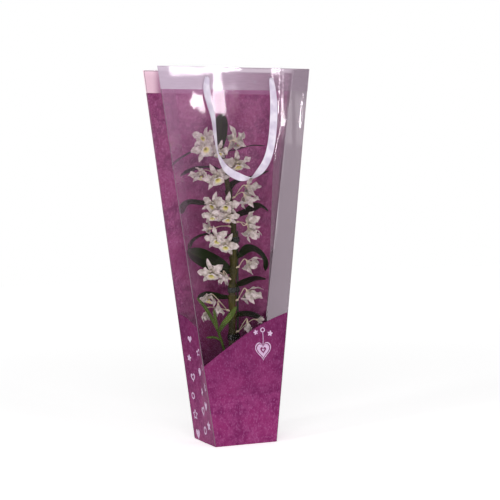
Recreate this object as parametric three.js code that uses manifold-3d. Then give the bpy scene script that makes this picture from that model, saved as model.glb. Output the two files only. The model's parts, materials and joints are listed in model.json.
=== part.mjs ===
// A flowering dendrobium orchid in its nursery pot, standing in a clear-fronted carrier bag.
// Millimetres, +Z up. The origin is the middle of the bag's base, on the surface it stands on,
// and the bag's clear front looks along -Y.
import * as THREE from 'three';
import { mergeVertices } from 'three/addons/utils/BufferGeometryUtils.js';
import Module from 'manifold-3d';

const wasm = await Module();
wasm.setup();

// ---------------------------------------------------------------- driving dimensions

const GAP = 0.3;                    // between neighbours that touch on the real object
const WELD = 1e-4;                  // corners nearer than this are one corner

const BAG = {
  height: 750,
  baseWidth: 131,
  baseDepth: 120,
  topWidth: 323,
  topDepth: 87,
  film: 0.8,                        // a stand-in for a film of 0.15 mm
  hem: 45,                          // the top edge, folded double
  hemFilm: 1.4,
  hemStep: 1,                       // the slope where the hem thickens
  pleatDepth: 47.5,                 // how far the side pleats would fold in, at pleatHeight
  pleatHeight: 900,
  pleatFilm: 1.0,
  pleatRows: 8,
};

const RIBBON = {
  width: 15,
  thickness: 1,
  steps: 26,
  holeRadius: 4.5,
  holeSides: 10,
  neckRadius: 3,
  neckReach: 3,                     // how far the neck stands out of the panel
  knotRadius: 6,
  knotDepth: 0.55,                  // the knot's depth and height, as shares of its width
  knotHeight: 0.9,
};

const POT = { rimRadius: 54, baseRadius: 38, height: 100, wall: 1.6, lip: 9, lipStep: 2.5, sides: 24 };
const BARK = { top: 84, relief: 3.5, rings: 4, sides: 18, sideGap: 0.9, lump: 0.39, swell: 0.16 };

// The cane thins by a power of its height, and swells over nodeReach on both sides of a node.
const CANE = { baseRadius: 7.8, topRadius: 4.6, taper: 1.6, sides: 8, swelling: 0.18, nodeReach: 7 };
const STAKE = { radius: 2.2, foot: [9, 5, 30], tip: [17, 6, 425], sides: 8 };
const CLIP = { height: 10, wall: 2.2, bridge: 4, caneSides: 14, stakeSides: 10, levels: [205, 300, 402] };

// channel is how far a blade's edges rise, as a share of its half width.
const LEAF = { thickness: 1.2, channel: 0.16 };
const FLOWER = {
  radius: 30,
  hub: 0.14,                        // the solid middle, as a share of the radius
  petalThickness: 1,
  cup: 22,                          // petals leave the throat this many degrees inside the opening
  bend: 34,                         // and bend this many degrees outwards on their way
  petalTilt: 0.6,
  lipDroop: 0.4,
  lipSides: 6,
  closed: 35,                       // below this opening the petals hide the lip, so it has none
};
const PEDICEL = { radius: 1.4, steps: 3, sides: 4, straight: 9, bendAt: 0.55, arch: 2 };
const STALK = { radius: 1.7, reach: 5, rise: 3, knuckle: 2.6 };   // the bunch's own short stalk

// ---------------------------------------------------------------- the plant's layout

// The cane leans and bends a little: points on its axis, from its foot in the bark to its tip.
const CANE_AXIS = [
  [-2, 0, 30], [-2, 0, 194], [-1, 0, 250], [1, 0, 310], [5, 0, 370], [6, 0, 435], [0, 0, 486],
  [-5, 0, 520], [-13, 0, 560], [-18, 0, 594],
];
const CANE_NODES = [110, 150, 184, 217, 253, 291, 316, 345, 370, 415, 452, 481, 504, 544, 575];

// Leaves: the height of the root on the cane, the widest width, the way that the upper face
// looks, and the points that the blade runs through.
const LEAVES = [
  { root: 588, width: 28, face: [-0.35, -1, 0],
    path: [[-15, 7, 612], [-12, 9, 640], [-11, 7, 662]] },
  { root: 582, width: 19, face: [0, -0.2, 1],
    path: [[-40, 12, 598], [-70, 18, 586], [-92, 25, 574], [-112, 31, 559]] },
  { root: 572, width: 19, face: [0, 0, 1],
    path: [[-2, 9, 584], [24, 15, 589], [54, 17, 597], [87, 18, 597]] },
  { root: 542, width: 21, face: [0, -0.3, 1],
    path: [[-29, 7, 552], [-57, 14, 553], [-78, 18, 547], [-98, 20, 537]] },
  { root: 503, width: 21, face: [0, -0.2, 1],
    path: [[8, 7, 518], [28, 14, 527], [54, 16, 531], [94, 16, 546]] },
  { root: 480, width: 17, face: [-0.2, -0.7, 1],
    path: [[-26, 9, 482], [-54, 15, 482], [-82, 21, 484], [-94, 22, 474], [-96, 22, 461]] },
  { root: 451, width: 23, face: [0, -0.5, 1],
    path: [[22, 8, 457], [45, 13, 463], [70, 16, 475], [91, 16, 463]] },
  { root: 414, width: 20, face: [0, -0.16, 1],
    path: [[-12, 11, 417], [-34, 19, 419], [-58, 24, 415], [-74, 27, 404], [-81, 29, 386]] },
  { root: 343, width: 40, face: [-0.25, -0.9, 0.5],
    path: [[-22, 3, 352], [-54, 8, 369], [-88, 18, 387]] },
  { root: 367, width: 21, face: [0.25, -0.7, 0.7],
    path: [[18, -6, 376], [32, 3, 385], [50, 12, 388], [70, 16, 378], [82, 18, 360], [82, 18, 340]] },
  { root: 313, width: 21, face: [0, -0.4, 1],
    path: [[15, -5, 315], [32, 4, 320], [60, 14, 325], [84, 19, 323]] },
  { root: 290, width: 20, face: [0, -0.8, 1],
    path: [[-18, 3, 291], [-36, 8, 294], [-53, 12, 296], [-70, 14, 290]] },
  { root: 252, width: 20, face: [0, -0.8, 1],
    path: [[16, -5, 255], [30, 3, 254], [58, 13, 248], [76, 18, 240]] },
];

// Bunches of flowers: the height of each one's node on the cane, and its flowers as
// [x, y, z, azimuth, elevation, roll, size, opening]. The first three place the throat, the
// azimuth turns the face from the front towards +X, and the opening is the angle in degrees
// between the flower's axis and its petals.
const BUNCHES = [
  { root: 585, flowers: [[-61, -24, 591, -23, 4, 35, 1.04, 84], [-49, 6, 611, -46, 24, 2, 0.98, 74],
                         [-32, -22, 586, 8, -20, -6, 0.86, 72]] },
  { root: 577, flowers: [[8, -13, 607, 106, 4, -4, 1.08, 76]] },
  { root: 562, flowers: [[8, -22, 563, -6, -30, 10, 1.06, 76]] },
  { root: 530, flowers: [[-39, -27, 534, -16, -14, 26, 1.04, 78],
                         [-60, -8, 542, -62, -44, -10, 1.04, 58]] },
  { root: 490, flowers: [[32, -16, 514, 104, -16, 8, 1.0, 62], [25, -20, 495, 100, -52, -8, 1.1, 50]] },
  { root: 465, flowers: [[-43, -20, 479, -40, -2, -12, 0.9, 78],
                         [-20, -31, 477, -22, -2, -14, 0.98, 84],
                         [-47, -24, 459, -40, -26, 14, 0.8, 66],
                         [-19, -33, 455, -10, -26, -8, 0.86, 74]] },
  { root: 432, flowers: [[-46, -2, 431, -150, 0, 20, 0.62, 64]] },
  { root: 440, flowers: [[29, -21, 439, 84, 24, 10, 1.02, 54], [32, -20, 429, 84, -58, 30, 1.06, 46]] },
  { root: 398, flowers: [[-39, -26, 411, -34, -10, 14, 0.94, 74],
                         [-24, -33, 399, -10, -16, -26, 0.94, 76]] },
  { root: 349, flowers: [[29, -18, 362, 98, -46, 24, 1.06, 50]] },
  { root: 326, flowers: [[-49, -20, 345, -44, -20, 10, 1.04, 72],
                         [-27, -26, 338, -14, -58, -14, 0.86, 32]] },
  { root: 282, flowers: [[27, -18, 302, 90, -57, -8, 1.2, 62]] },
  { root: 262, flowers: [[-51, -10, 294, -46, -34, -10, 0.9, 58],
                         [-36, -14, 276, -22, -70, 6, 0.84, 25], [-58, -7, 264, -60, -66, 12, 0.7, 25]] },
  { root: 218, flowers: [[25, -18, 238, 10, -76, 8, 0.66, 24], [52, -8, 242, 70, -10, -12, 0.5, 50]] },
];

// The young shoot at the foot of the cane: its stem, then its blades as point lists.
const SHOOT = {
  stem: [[-12, -17, 30], [-14, -17, 110], [-25, -16, 182], [-35, -16, 216], [-39, -17, 228]],
  stemRadius: 3.2,
  stemSides: 7,
  stemSteps: 7,
  face: [-0.3, -1, 0.2],
  channel: 0.3,
  blades: [
    { width: 7,
      path: [[-36, -16, 218], [-50, -24, 243], [-66, -32, 268], [-77, -33, 283], [-88, -32, 295]] },
    { width: 6, path: [[-37, -16, 221], [-46, -25, 246], [-52, -31, 272]] },
    { width: 8, path: [[-37, -15, 219], [-32, -25, 236], [-19, -33, 254], [-4, -34, 274]] },
    { width: 5, path: [[-31, -16, 204], [-44, -15, 212], [-63, -13, 213]] },
  ],
};

// A ribbon's way down its panel: [x, z, distance from the panel, twist in degrees], hole to hole.
const RIBBON_WAY = [
  [-61, 727, 2.5, 0], [-63, 708, 3.2, 8], [-59, 680, 4.8, 20], [-52, 650, 6.2, 34],
  [-49, 610, 7.4, 50], [-44, 577, 8.0, 58], [-27, 548, 6.0, 16], [-4, 534, 5.0, -6],
  [12, 529, 7.6, -54], [26, 530, 8.6, -92], [42, 541, 6.6, -132], [59, 562, 5.0, -164],
  [70, 592, 4.8, -168], [77, 633, 4.2, -168], [80, 684, 3.4, -172], [77, 726, 2.5, -180],
];

// ---------------------------------------------------------------- materials

const material = (color, roughness, metalness = 0) =>
  new THREE.MeshStandardMaterial({ color, roughness, metalness });

const clearFilm = () => new THREE.MeshStandardMaterial({
  color: 0xd8ccd6, roughness: 0.12, metalness: 0, transparent: true, opacity: 0.35,
});
const printedFilm = () => material(0x8a3a6c, 0.4);
const satin = () => material(0xdcd2e2, 0.35);
const blackPlastic = () => material(0x1c1b1a, 0.5);
const barkBrown = () => material(0x5b3f2a, 0.95);
const caneGreen = () => material(0x6d6f3c, 0.5);
const stakeGreen = () => material(0x24301c, 0.5);
const leafGreen = () => material(0x2c3a1c, 0.35);
const shootGreen = () => material(0x55702c, 0.4);
const petalWhite = () => material(0xeee6e2, 0.6);

// ---------------------------------------------------------------- solids

const vector = (xyz) => new THREE.Vector3(...xyz);
const radians = THREE.MathUtils.degToRad;
const mix = THREE.MathUtils.lerp;

// A closed body through rings of points. All rings have the same number of points, but a ring
// of one point makes a tip. Each half of a ring is split the other way, so that the two faces
// of a thin blade are split alike and don't cross.
function loft(rings) {
  const positions = [];
  const starts = [];
  for (const ring of rings) {
    starts.push(positions.length / 3);
    for (const p of ring) positions.push(p.x, p.y, p.z);
  }
  const index = [];
  for (let i = 0; i < rings.length - 1; i += 1) {
    const [a, b] = [starts[i], starts[i + 1]];
    const count = Math.max(rings[i].length, rings[i + 1].length);
    for (let j = 0; j < count; j += 1) {
      const k = (j + 1) % count;
      if (rings[i].length === 1) {
        index.push(a, b + k, b + j);
      } else if (rings[i + 1].length === 1) {
        index.push(a + j, a + k, b);
      } else if (j < count / 2) {
        index.push(a + j, a + k, b + k, a + j, b + k, b + j);
      } else {
        index.push(a + j, a + k, b + j, a + k, b + k, b + j);
      }
    }
  }
  closeEnd(index, starts[0], rings[0].length, true);
  closeEnd(index, starts[rings.length - 1], rings[rings.length - 1].length, false);
  const geometry = new THREE.BufferGeometry();
  geometry.setAttribute('position', new THREE.Float32BufferAttribute(positions, 3));
  geometry.setIndex(index);
  return geometry;
}

// Fills an end ring with a strip of triangles that runs across it, from side to side.
function closeEnd(index, start, count, isFirst) {
  let [low, high] = [0, count - 1];
  let takeLow = true;
  while (high - low > 1) {
    const middle = takeLow ? low + 1 : high - 1;
    const triangle = isFirst ? [low, high, middle] : [low, middle, high];
    index.push(...triangle.map((corner) => start + corner));
    if (takeLow) low = middle;
    else high = middle;
    takeLow = !takeLow;
  }
}

// A manifold solid from any closed geometry.
function solid(geometry) {
  const plain = geometry.clone();
  plain.deleteAttribute('normal');
  plain.deleteAttribute('uv');
  const merged = mergeVertices(plain, WELD);
  const made = new wasm.Manifold(new wasm.Mesh({
    numProp: 3,
    vertProperties: new Float32Array(merged.attributes.position.array),
    triVerts: new Uint32Array(merged.index.array),
  }));
  return made.volume() < 0 ? solid(turnedInsideOut(merged)) : made;
}

function turnedInsideOut(geometry) {
  const index = [...geometry.index.array];
  const flipped = geometry.clone();
  for (let i = 0; i < index.length; i += 3) [index[i], index[i + 1]] = [index[i + 1], index[i]];
  flipped.setIndex(index);
  return flipped;
}

const fuse = (solids) => solids.reduce((sum, next) => sum.add(next));
const cut = (body, ...tools) => tools.reduce((rest, tool) => rest.subtract(tool), body);

// The largest piece of a solid, without the scraps that a cut leaves.
function mainPiece(body) {
  const pieces = body.decompose();
  return pieces.reduce((best, piece) => (piece.volume() > best.volume() ? piece : best));
}

function geometryOf(body) {
  const { vertProperties, triVerts } = body.getMesh();
  const geometry = new THREE.BufferGeometry();
  geometry.setAttribute('position', new THREE.Float32BufferAttribute(vertProperties, 3));
  geometry.setIndex([...triVerts]);
  return geometry;
}

// A ring of points round a centre, in the plane of two directions.
function ringOf(centre, across, up, radius, sides, upRadius = radius) {
  return Array.from({ length: sides }, (_, i) => {
    const angle = (2 * Math.PI * i) / sides;
    return centre.clone()
      .addScaledVector(across, Math.cos(angle) * radius)
      .addScaledVector(up, Math.sin(angle) * upRadius);
  });
}

// A round rod along a curve: a polygon extruded on the curve's path.
function rodAlong(curve, radius, sides, steps) {
  const section = new THREE.Shape(
    Array.from({ length: sides }, (_, i) => {
      const angle = (2 * Math.PI * i) / sides;
      return new THREE.Vector2(radius * Math.cos(angle), radius * Math.sin(angle));
    }),
  );
  return new THREE.ExtrudeGeometry(section, { extrudePath: curve, steps, bevelEnabled: false });
}

// A disc of the given radius and height that stands upright on a point.
function uprightDisc(x, y, z, radius, height, sides) {
  const disc = new THREE.CylinderGeometry(radius, radius, height, sides);
  disc.rotateX(Math.PI / 2);
  disc.translate(x, y, z + height / 2);
  return disc;
}

// ---------------------------------------------------------------- the bag

const panelHalfWidth = (z) => mix(BAG.baseWidth, BAG.topWidth, z / BAG.height) / 2;
const panelHalfDepth = (z) => mix(BAG.baseDepth, BAG.topDepth, z / BAG.height) / 2;
const pleatAt = (z) => BAG.pleatDepth * Math.sin((Math.PI / 2) * (z / BAG.pleatHeight));

// A flat panel, thicker in its folded hem. side is -1 for the front and 1 for the back.
function panel(side) {
  const hemFoot = BAG.height - BAG.hem;
  const levels = [[0, BAG.film], [hemFoot - BAG.hemStep, BAG.film], [hemFoot, BAG.hemFilm],
                  [BAG.height, BAG.hemFilm]];
  const rings = levels.map(([z, thickness]) => {
    const x = panelHalfWidth(z);
    const outer = side * panelHalfDepth(z);
    const inner = outer - side * thickness;
    return [[-x, outer, z], [x, outer, z], [x, inner, z], [-x, inner, z]].map(vector);
  });
  return solid(loft(rings));
}

// Half of a side film, from its panel to the crease of the pleat, which lies deeper towards the
// top. side is -1 for the left, and face is -1 for the half at the front.
function gussetHalf(side, face) {
  const rings = Array.from({ length: BAG.pleatRows + 1 }, (_, row) => {
    const z = (BAG.height * row) / BAG.pleatRows;
    const edge = [side * panelHalfWidth(z), face * (panelHalfDepth(z) - BAG.hemFilm - GAP)];
    const crease = [edge[0] - side * pleatAt(z), (face * GAP) / 2];
    const inner = ([x, y]) => [x - side * BAG.pleatFilm, y];
    return [edge, crease, inner(crease), inner(edge)].map(([x, y]) => new THREE.Vector3(x, y, z));
  });
  return solid(loft(rings));
}

function bagBase() {
  const width = BAG.baseWidth - 2 * (BAG.pleatFilm + GAP);
  const depth = BAG.baseDepth - 2 * (BAG.film + GAP);
  const plate = new THREE.BoxGeometry(width, depth, BAG.film);
  plate.translate(0, 0, BAG.film / 2);
  return solid(plate);
}

// The ribbon's centre line, outside the panel on the given side.
function ribbonCurve(side) {
  return new THREE.CatmullRomCurve3(
    RIBBON_WAY.map(([x, z, off]) => new THREE.Vector3(x, side * (panelHalfDepth(z) + off), z)),
  );
}

const ribbonHoles = [RIBBON_WAY[0], RIBBON_WAY[RIBBON_WAY.length - 1]];

// A short rod along Y through a ribbon hole.
function throughHole([x, z], side, radius, outward, inward) {
  const rod = new THREE.CylinderGeometry(radius, radius, outward + inward, RIBBON.holeSides);
  rod.translate(x, side * (panelHalfDepth(z) + (outward - inward) / 2), z);
  return solid(rod);
}

function ribbonKnot([x, z], side) {
  const knot = new THREE.IcosahedronGeometry(RIBBON.knotRadius, 1);
  knot.scale(1, RIBBON.knotDepth, RIBBON.knotHeight);
  const inset = BAG.hemFilm + GAP + RIBBON.knotDepth * RIBBON.knotRadius;
  knot.translate(x, side * (panelHalfDepth(z) - inset), z);
  return solid(knot);
}

// A flat strap that twists as it hangs, with a neck and a knot at each hole.
function ribbonHandle(side) {
  const curve = ribbonCurve(side);
  const twists = RIBBON_WAY.map(([, , , twist]) => twist);
  const outward = new THREE.Vector3(0, side, 0);
  const rings = Array.from({ length: RIBBON.steps + 1 }, (_, i) => {
    const t = i / RIBBON.steps;
    const place = t * (twists.length - 1);
    const before = Math.min(Math.floor(place), twists.length - 2);
    const twist = radians(mix(twists[before], twists[before + 1], place - before));
    const tangent = curve.getTangent(t);
    const across = new THREE.Vector3().crossVectors(tangent, outward).normalize();
    const normal = new THREE.Vector3().crossVectors(across, tangent).normalize();
    const wide = across.clone().multiplyScalar(Math.cos(twist))
      .addScaledVector(normal, Math.sin(twist));
    const thin = new THREE.Vector3().crossVectors(tangent, wide).normalize();
    const centre = curve.getPoint(t);
    const corner = (a, b) => centre.clone()
      .addScaledVector(wide, (a * RIBBON.width) / 2)
      .addScaledVector(thin, (b * RIBBON.thickness) / 2);
    return [corner(-1, 1), corner(1, 1), corner(1, -1), corner(-1, -1)];
  });
  const toKnot = BAG.hemFilm + RIBBON.knotRadius / 2;
  const necks = ribbonHoles.map((hole) =>
    throughHole(hole, side, RIBBON.neckRadius, RIBBON.neckReach, toKnot));
  const knots = ribbonHoles.map((hole) => ribbonKnot(hole, side));
  return fuse([solid(loft(rings)), ...necks, ...knots]);
}

function panelWithHoles(side) {
  const holes = ribbonHoles.map((hole) =>
    throughHole(hole, side, RIBBON.holeRadius, BAG.hemFilm, 2 * BAG.hemFilm));
  return cut(panel(side), ...holes);
}

// ---------------------------------------------------------------- pot, bark, stake and clips

const potFloor = BAG.film + GAP;

function nurseryPot() {
  const { rimRadius, baseRadius, height, wall, lip, lipStep, sides } = POT;
  const shoulder = mix(baseRadius, rimRadius - lipStep, (height - lip) / height);
  const outline = [
    [0, 0], [baseRadius, 0], [shoulder, height - lip], [rimRadius, height - lip], [rimRadius, height],
    [rimRadius - wall, height], [shoulder - wall, height - lip], [baseRadius - wall, wall], [0, wall],
  ];
  const pot = new THREE.LatheGeometry(outline.map(([r, z]) => new THREE.Vector2(r, z)), sides);
  pot.rotateX(Math.PI / 2);
  pot.translate(0, 0, potFloor);
  return solid(pot);
}

// Coarse bark that fills the pot, with a broken surface.
function bark(holes) {
  const { top, relief, rings, sides, sideGap, lump, swell } = BARK;
  const low = potFloor + POT.wall + GAP;
  const potRadius = (z) => mix(POT.baseRadius, POT.rimRadius - POT.lipStep, (z - potFloor) / POT.height);
  const radiusAt = (z) => potRadius(z) - POT.wall - sideGap;
  const edge = radiusAt(top);
  const outline = [[0, low], [radiusAt(low), low], [edge, top]];
  for (let i = rings - 1; i >= 0; i -= 1) outline.push([(edge * i) / rings, top]);
  const heap = new THREE.LatheGeometry(outline.map(([r, z]) => new THREE.Vector2(r, z)), sides);
  heap.rotateX(Math.PI / 2);
  const spots = heap.attributes.position;
  for (let i = 0; i < spots.count; i += 1) {
    const [x, y, z] = [spots.getX(i), spots.getY(i), spots.getZ(i)];
    const isSurface = z > top - 1e-3 && Math.hypot(x, y) < edge - 1;
    const height = Math.sin(lump * x + 1) * Math.cos(lump * y) + Math.sin(swell * (x - y)) / 2;
    if (isSurface) spots.setZ(i, z + relief * height);
  }
  return mainPiece(cut(solid(heap), ...holes));
}

function stake(extra = 0) {
  const path = new THREE.LineCurve3(vector(STAKE.foot), vector(STAKE.tip));
  return solid(rodAlong(path, STAKE.radius + extra, STAKE.sides, 1));
}

function stakePoint(z) {
  const t = (z - STAKE.foot[2]) / (STAKE.tip[2] - STAKE.foot[2]);
  return vector(STAKE.foot).lerp(vector(STAKE.tip), t);
}

// A plastic clip that holds the cane and the stake side by side.
function clip(z) {
  const [held, post] = [canePoint(z), stakePoint(z)];
  const [outerCane, outerStake] = [caneRadius(z), STAKE.radius].map((radius) => radius + GAP + CLIP.wall);
  const roundCane = uprightDisc(held.x, held.y, z, outerCane, CLIP.height, CLIP.caneSides);
  const roundStake = uprightDisc(post.x, post.y, z, outerStake, CLIP.height, CLIP.stakeSides);
  const bridge = new THREE.BoxGeometry(held.distanceTo(post), CLIP.bridge, CLIP.height);
  bridge.rotateZ(Math.atan2(post.y - held.y, post.x - held.x));
  bridge.translate((held.x + post.x) / 2, (held.y + post.y) / 2, z + CLIP.height / 2);
  return mainPiece(cut(fuse([roundCane, roundStake, bridge].map(solid)), cane(GAP), stake(GAP)));
}

// ---------------------------------------------------------------- cane

const caneCurve = new THREE.CatmullRomCurve3(CANE_AXIS.map(vector));
const HALVINGS = 24;

// The point on the cane's axis at a height, found by halving.
function canePoint(z) {
  let [low, high] = [0, 1];
  for (let i = 0; i < HALVINGS; i += 1) {
    const middle = (low + high) / 2;
    if (caneCurve.getPoint(middle).z < z) low = middle;
    else high = middle;
  }
  return caneCurve.getPoint(low);
}

function caneRadius(z) {
  const foot = CANE_AXIS[0][2];
  const tip = CANE_AXIS[CANE_AXIS.length - 1][2];
  const plain = mix(CANE.baseRadius, CANE.topRadius, ((z - foot) / (tip - foot)) ** CANE.taper);
  const nearest = Math.min(...CANE_NODES.map((level) => Math.abs(level - z)));
  return plain * (1 + CANE.swelling * Math.max(0, 1 - nearest / CANE.nodeReach));
}

// The cane, a jointed rod that swells at each node. extra makes it thicker, as a tool.
function cane(extra = 0) {
  const levels = [CANE_AXIS[0][2]];
  for (const node of CANE_NODES) levels.push(node - CANE.nodeReach, node, node + CANE.nodeReach);
  levels.push(CANE_AXIS[CANE_AXIS.length - 1][2]);
  const [across, up] = [new THREE.Vector3(1, 0, 0), new THREE.Vector3(0, 1, 0)];
  const rings = levels.map((z, i) => {
    const overshoot = extra && (i === 0 ? -extra : i === levels.length - 1 ? extra : 0);
    const centre = canePoint(z);
    centre.z = z + overshoot;
    return ringOf(centre, across, up, caneRadius(z) + extra, CANE.sides);
  });
  return solid(loft(rings));
}

// ---------------------------------------------------------------- leaves

// A channelled blade along a curve. outline gives [place, half width] pairs, and face is the
// way that the upper side looks. The last pair is the tip.
function blade(curve, face, outline, halfWidth, thickness, channel) {
  const rings = outline.map(([t, share], i) => {
    const centre = curve.getPoint(t);
    const tangent = curve.getTangent(t);
    const side = new THREE.Vector3().crossVectors(tangent, face).normalize();
    const normal = new THREE.Vector3().crossVectors(side, tangent).normalize();
    if (i === outline.length - 1) return [centre];
    const reach = halfWidth * share;
    const at = (across, lift) =>
      centre.clone().addScaledVector(side, across).addScaledVector(normal, lift);
    const rise = channel * reach;
    return [at(-reach, rise), at(0, thickness / 2), at(reach, rise), at(0, -thickness / 2)];
  });
  return solid(loft(rings));
}

const LEAF_OUTLINE = [
  [0, 0.28], [0.1, 0.44], [0.24, 0.74], [0.4, 0.94], [0.58, 1], [0.74, 0.96], [0.87, 0.78],
  [0.96, 0.46], [1, 0],
];

function leaf({ root, path, width, face }) {
  const curve = new THREE.CatmullRomCurve3([canePoint(root), ...path.map(vector)]);
  const up = vector(face).normalize();
  const body = blade(curve, up, LEAF_OUTLINE, width / 2, LEAF.thickness, LEAF.channel);
  return mainPiece(cut(body, cane(GAP), stake(GAP)));
}

function shootStem(extra = 0) {
  const path = new THREE.CatmullRomCurve3(SHOOT.stem.map(vector));
  return solid(rodAlong(path, SHOOT.stemRadius + extra, SHOOT.stemSides, SHOOT.stemSteps));
}

function youngShoot() {
  const up = vector(SHOOT.face).normalize();
  const blades = SHOOT.blades.map(({ path, width }) => {
    const curve = new THREE.CatmullRomCurve3(path.map(vector));
    return blade(curve, up, LEAF_OUTLINE, width / 2, LEAF.thickness, SHOOT.channel);
  });
  return mainPiece(fuse([shootStem(), ...blades]));
}

// ---------------------------------------------------------------- flowers

const SEPAL_OUTLINE = [[0.1, 0.5], [0.4, 1], [0.74, 0.68], [1, 0]];
const PETAL_OUTLINE = [[0.1, 0.36], [0.46, 1], [0.8, 0.62], [1, 0]];

// The sepals lie behind the petals, with edges that roll back. halfWidth, length and lift, the
// step forwards along the flower's axis, are shares of the flower's radius.
const SEPAL = { outline: SEPAL_OUTLINE, halfWidth: 0.2, length: 1, lift: -0.05, channel: -0.12 };
const PETAL = { outline: PETAL_OUTLINE, halfWidth: 0.3, length: 0.97, lift: 0.06, channel: 0.12 };
const PERIANTH = [[90, SEPAL], [212, SEPAL], [328, SEPAL], [20, PETAL], [160, PETAL]];

// The flower's own axes: out of its face, up and across.
function faceAxes(azimuth, elevation, roll) {
  const [a, e] = [radians(azimuth), radians(elevation)];
  const out = new THREE.Vector3(Math.sin(a) * Math.cos(e), -Math.cos(a) * Math.cos(e), Math.sin(e));
  const across = new THREE.Vector3(Math.cos(a), Math.sin(a), 0).applyAxisAngle(out, radians(roll));
  return { out, across, up: new THREE.Vector3().crossVectors(out, across) };
}

// A petal that leaves the throat at the opening angle and bends outwards on its way.
function petalSolid(centre, { out, across, up }, angle, shape, radius, opening) {
  const { outline, halfWidth, length, lift, channel } = shape;
  const radial = across.clone().multiplyScalar(Math.cos(radians(angle)))
    .addScaledVector(up, Math.sin(radians(angle)));
  const points = [0, 0.35, 0.7, 1].map((t) => {
    const lean = radians(opening - FLOWER.cup + FLOWER.bend * t);
    return centre.clone()
      .addScaledVector(radial, t * length * radius * Math.sin(lean))
      .addScaledVector(out, (t * length * Math.cos(lean) + lift) * radius);
  });
  const curve = new THREE.CatmullRomCurve3(points);
  const face = out.clone().addScaledVector(radial, -FLOWER.petalTilt).normalize();
  return blade(curve, face, outline, halfWidth * radius, FLOWER.petalThickness, channel);
}

// The lip: a short trumpet that leans down, with a hollow throat. Each of its rings is a place
// along its axis, a size and a drop, as shares of the flower's radius.
const LIP_RINGS = [[0, 0.09, 0], [0.3, 0.19, -0.02], [0.52, 0.4, -0.1], [0.24, 0.1, 0]];

function lipSolid(centre, { out, across, up }, radius) {
  const axis = out.clone().addScaledVector(up, -FLOWER.lipDroop).normalize();
  const lift = new THREE.Vector3().crossVectors(axis, across);
  return solid(loft(LIP_RINGS.map(([along, size, drop]) => {
    const middle = centre.clone()
      .addScaledVector(axis, along * radius)
      .addScaledVector(lift, drop * radius);
    return ringOf(middle, across, lift, size * radius, FLOWER.lipSides);
  })));
}

// A flower's own stalk, which arches and then runs straight into the back of the flower.
function pedicelSolid(from, centre, { out }) {
  const back = centre.clone().addScaledVector(out, -PEDICEL.straight);
  const middle = from.clone().lerp(back, PEDICEL.bendAt);
  middle.z += PEDICEL.arch;
  const curve = new THREE.CatmullRomCurve3([from, middle, back, centre]);
  return solid(rodAlong(curve, PEDICEL.radius, PEDICEL.sides, PEDICEL.steps));
}

function flower([x, y, z, azimuth, elevation, roll, size, opening], fork) {
  const centre = new THREE.Vector3(x, y, z);
  const axes = faceAxes(azimuth, elevation, roll);
  const radius = FLOWER.radius * size;
  const petals = PERIANTH.map(([angle, shape]) =>
    petalSolid(centre, axes, angle, shape, radius, opening));
  const hub = new THREE.OctahedronGeometry(FLOWER.hub * radius, 0);
  hub.translate(x, y, z);
  const lips = opening > FLOWER.closed ? [lipSolid(centre, axes, radius)] : [];
  return fuse([...petals, ...lips, solid(hub), pedicelSolid(fork, centre, axes)]);
}

// Where a bunch's pedicels part: just outside the cane, on the side that its flowers are on.
function forkPoint(root, flowers) {
  const held = canePoint(root);
  const middle = new THREE.Vector3();
  for (const [x, y] of flowers) middle.add(new THREE.Vector3(x - held.x, y - held.y, 0));
  middle.normalize();
  return held.addScaledVector(middle, caneRadius(root) + STALK.reach).setZ(root + STALK.rise);
}

function bunch({ root, flowers }) {
  const fork = forkPoint(root, flowers);
  const path = new THREE.LineCurve3(canePoint(root), fork);
  const stalk = rodAlong(path, STALK.radius, PEDICEL.sides, 1);
  const knuckle = new THREE.OctahedronGeometry(STALK.knuckle, 0);
  knuckle.translate(fork.x, fork.y, fork.z);
  const whole = fuse([solid(stalk), solid(knuckle), ...flowers.map((each) => flower(each, fork))]);
  return mainPiece(cut(whole, cane(GAP), stake(GAP)));
}

// ---------------------------------------------------------------- the scene graph

const plantInBag = new THREE.Group();
plantInBag.name = 'dendrobium_in_bag';

function add(group, name, body, finish) {
  const mesh = new THREE.Mesh(geometryOf(body), finish);
  mesh.name = name;
  group.add(mesh);
}

const numbered = (name, i) => `${name}_${String(i + 1).padStart(2, '0')}`;

const bag = new THREE.Group();
add(bag, 'bag_front_panel', panelWithHoles(-1), clearFilm());
add(bag, 'bag_back_panel', panelWithHoles(1), printedFilm());
add(bag, 'bag_left_gusset_front', gussetHalf(-1, -1), clearFilm());
add(bag, 'bag_left_gusset_back', gussetHalf(-1, 1), clearFilm());
add(bag, 'bag_right_gusset_front', gussetHalf(1, -1), clearFilm());
add(bag, 'bag_right_gusset_back', gussetHalf(1, 1), clearFilm());
add(bag, 'bag_base', bagBase(), printedFilm());
add(bag, 'ribbon_handle_front', ribbonHandle(-1), satin());
add(bag, 'ribbon_handle_back', ribbonHandle(1), satin());

const pot = new THREE.Group();
add(pot, 'nursery_pot', nurseryPot(), blackPlastic());
add(pot, 'bark_medium', bark([cane(GAP), stake(GAP), shootStem(GAP)]), barkBrown());
add(pot, 'stake', stake(), stakeGreen());
CLIP.levels.forEach((z, i) => add(pot, numbered('clip', i), clip(z), blackPlastic()));

const plant = new THREE.Group();
add(plant, 'cane', cane(), caneGreen());
add(plant, 'young_shoot', youngShoot(), shootGreen());
LEAVES.forEach((each, i) => add(plant, numbered('leaf', i), leaf(each), leafGreen()));
BUNCHES.forEach((each, i) => add(plant, numbered('flowers', i), bunch(each), petalWhite()));

plantInBag.add(bag, pot, plant);

export default plantInBag;
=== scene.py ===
# %% [markdown]
# # A dendrobium orchid in a clear carrier bag
# The plant is a single leafy cane with bunches of white flowers. It stands in a nursery pot, held to a
# stake with clips, inside a tall bag that widens upwards. We dress the measured model piece by piece:
# each cell adds one piece or one finish and prints what it made. Lengths are metres, +Z is up, the bag's
# clear front looks along -Y, and the origin is the middle of the bag's base.

# %% Load the measured model
import json
import math
import random

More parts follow.
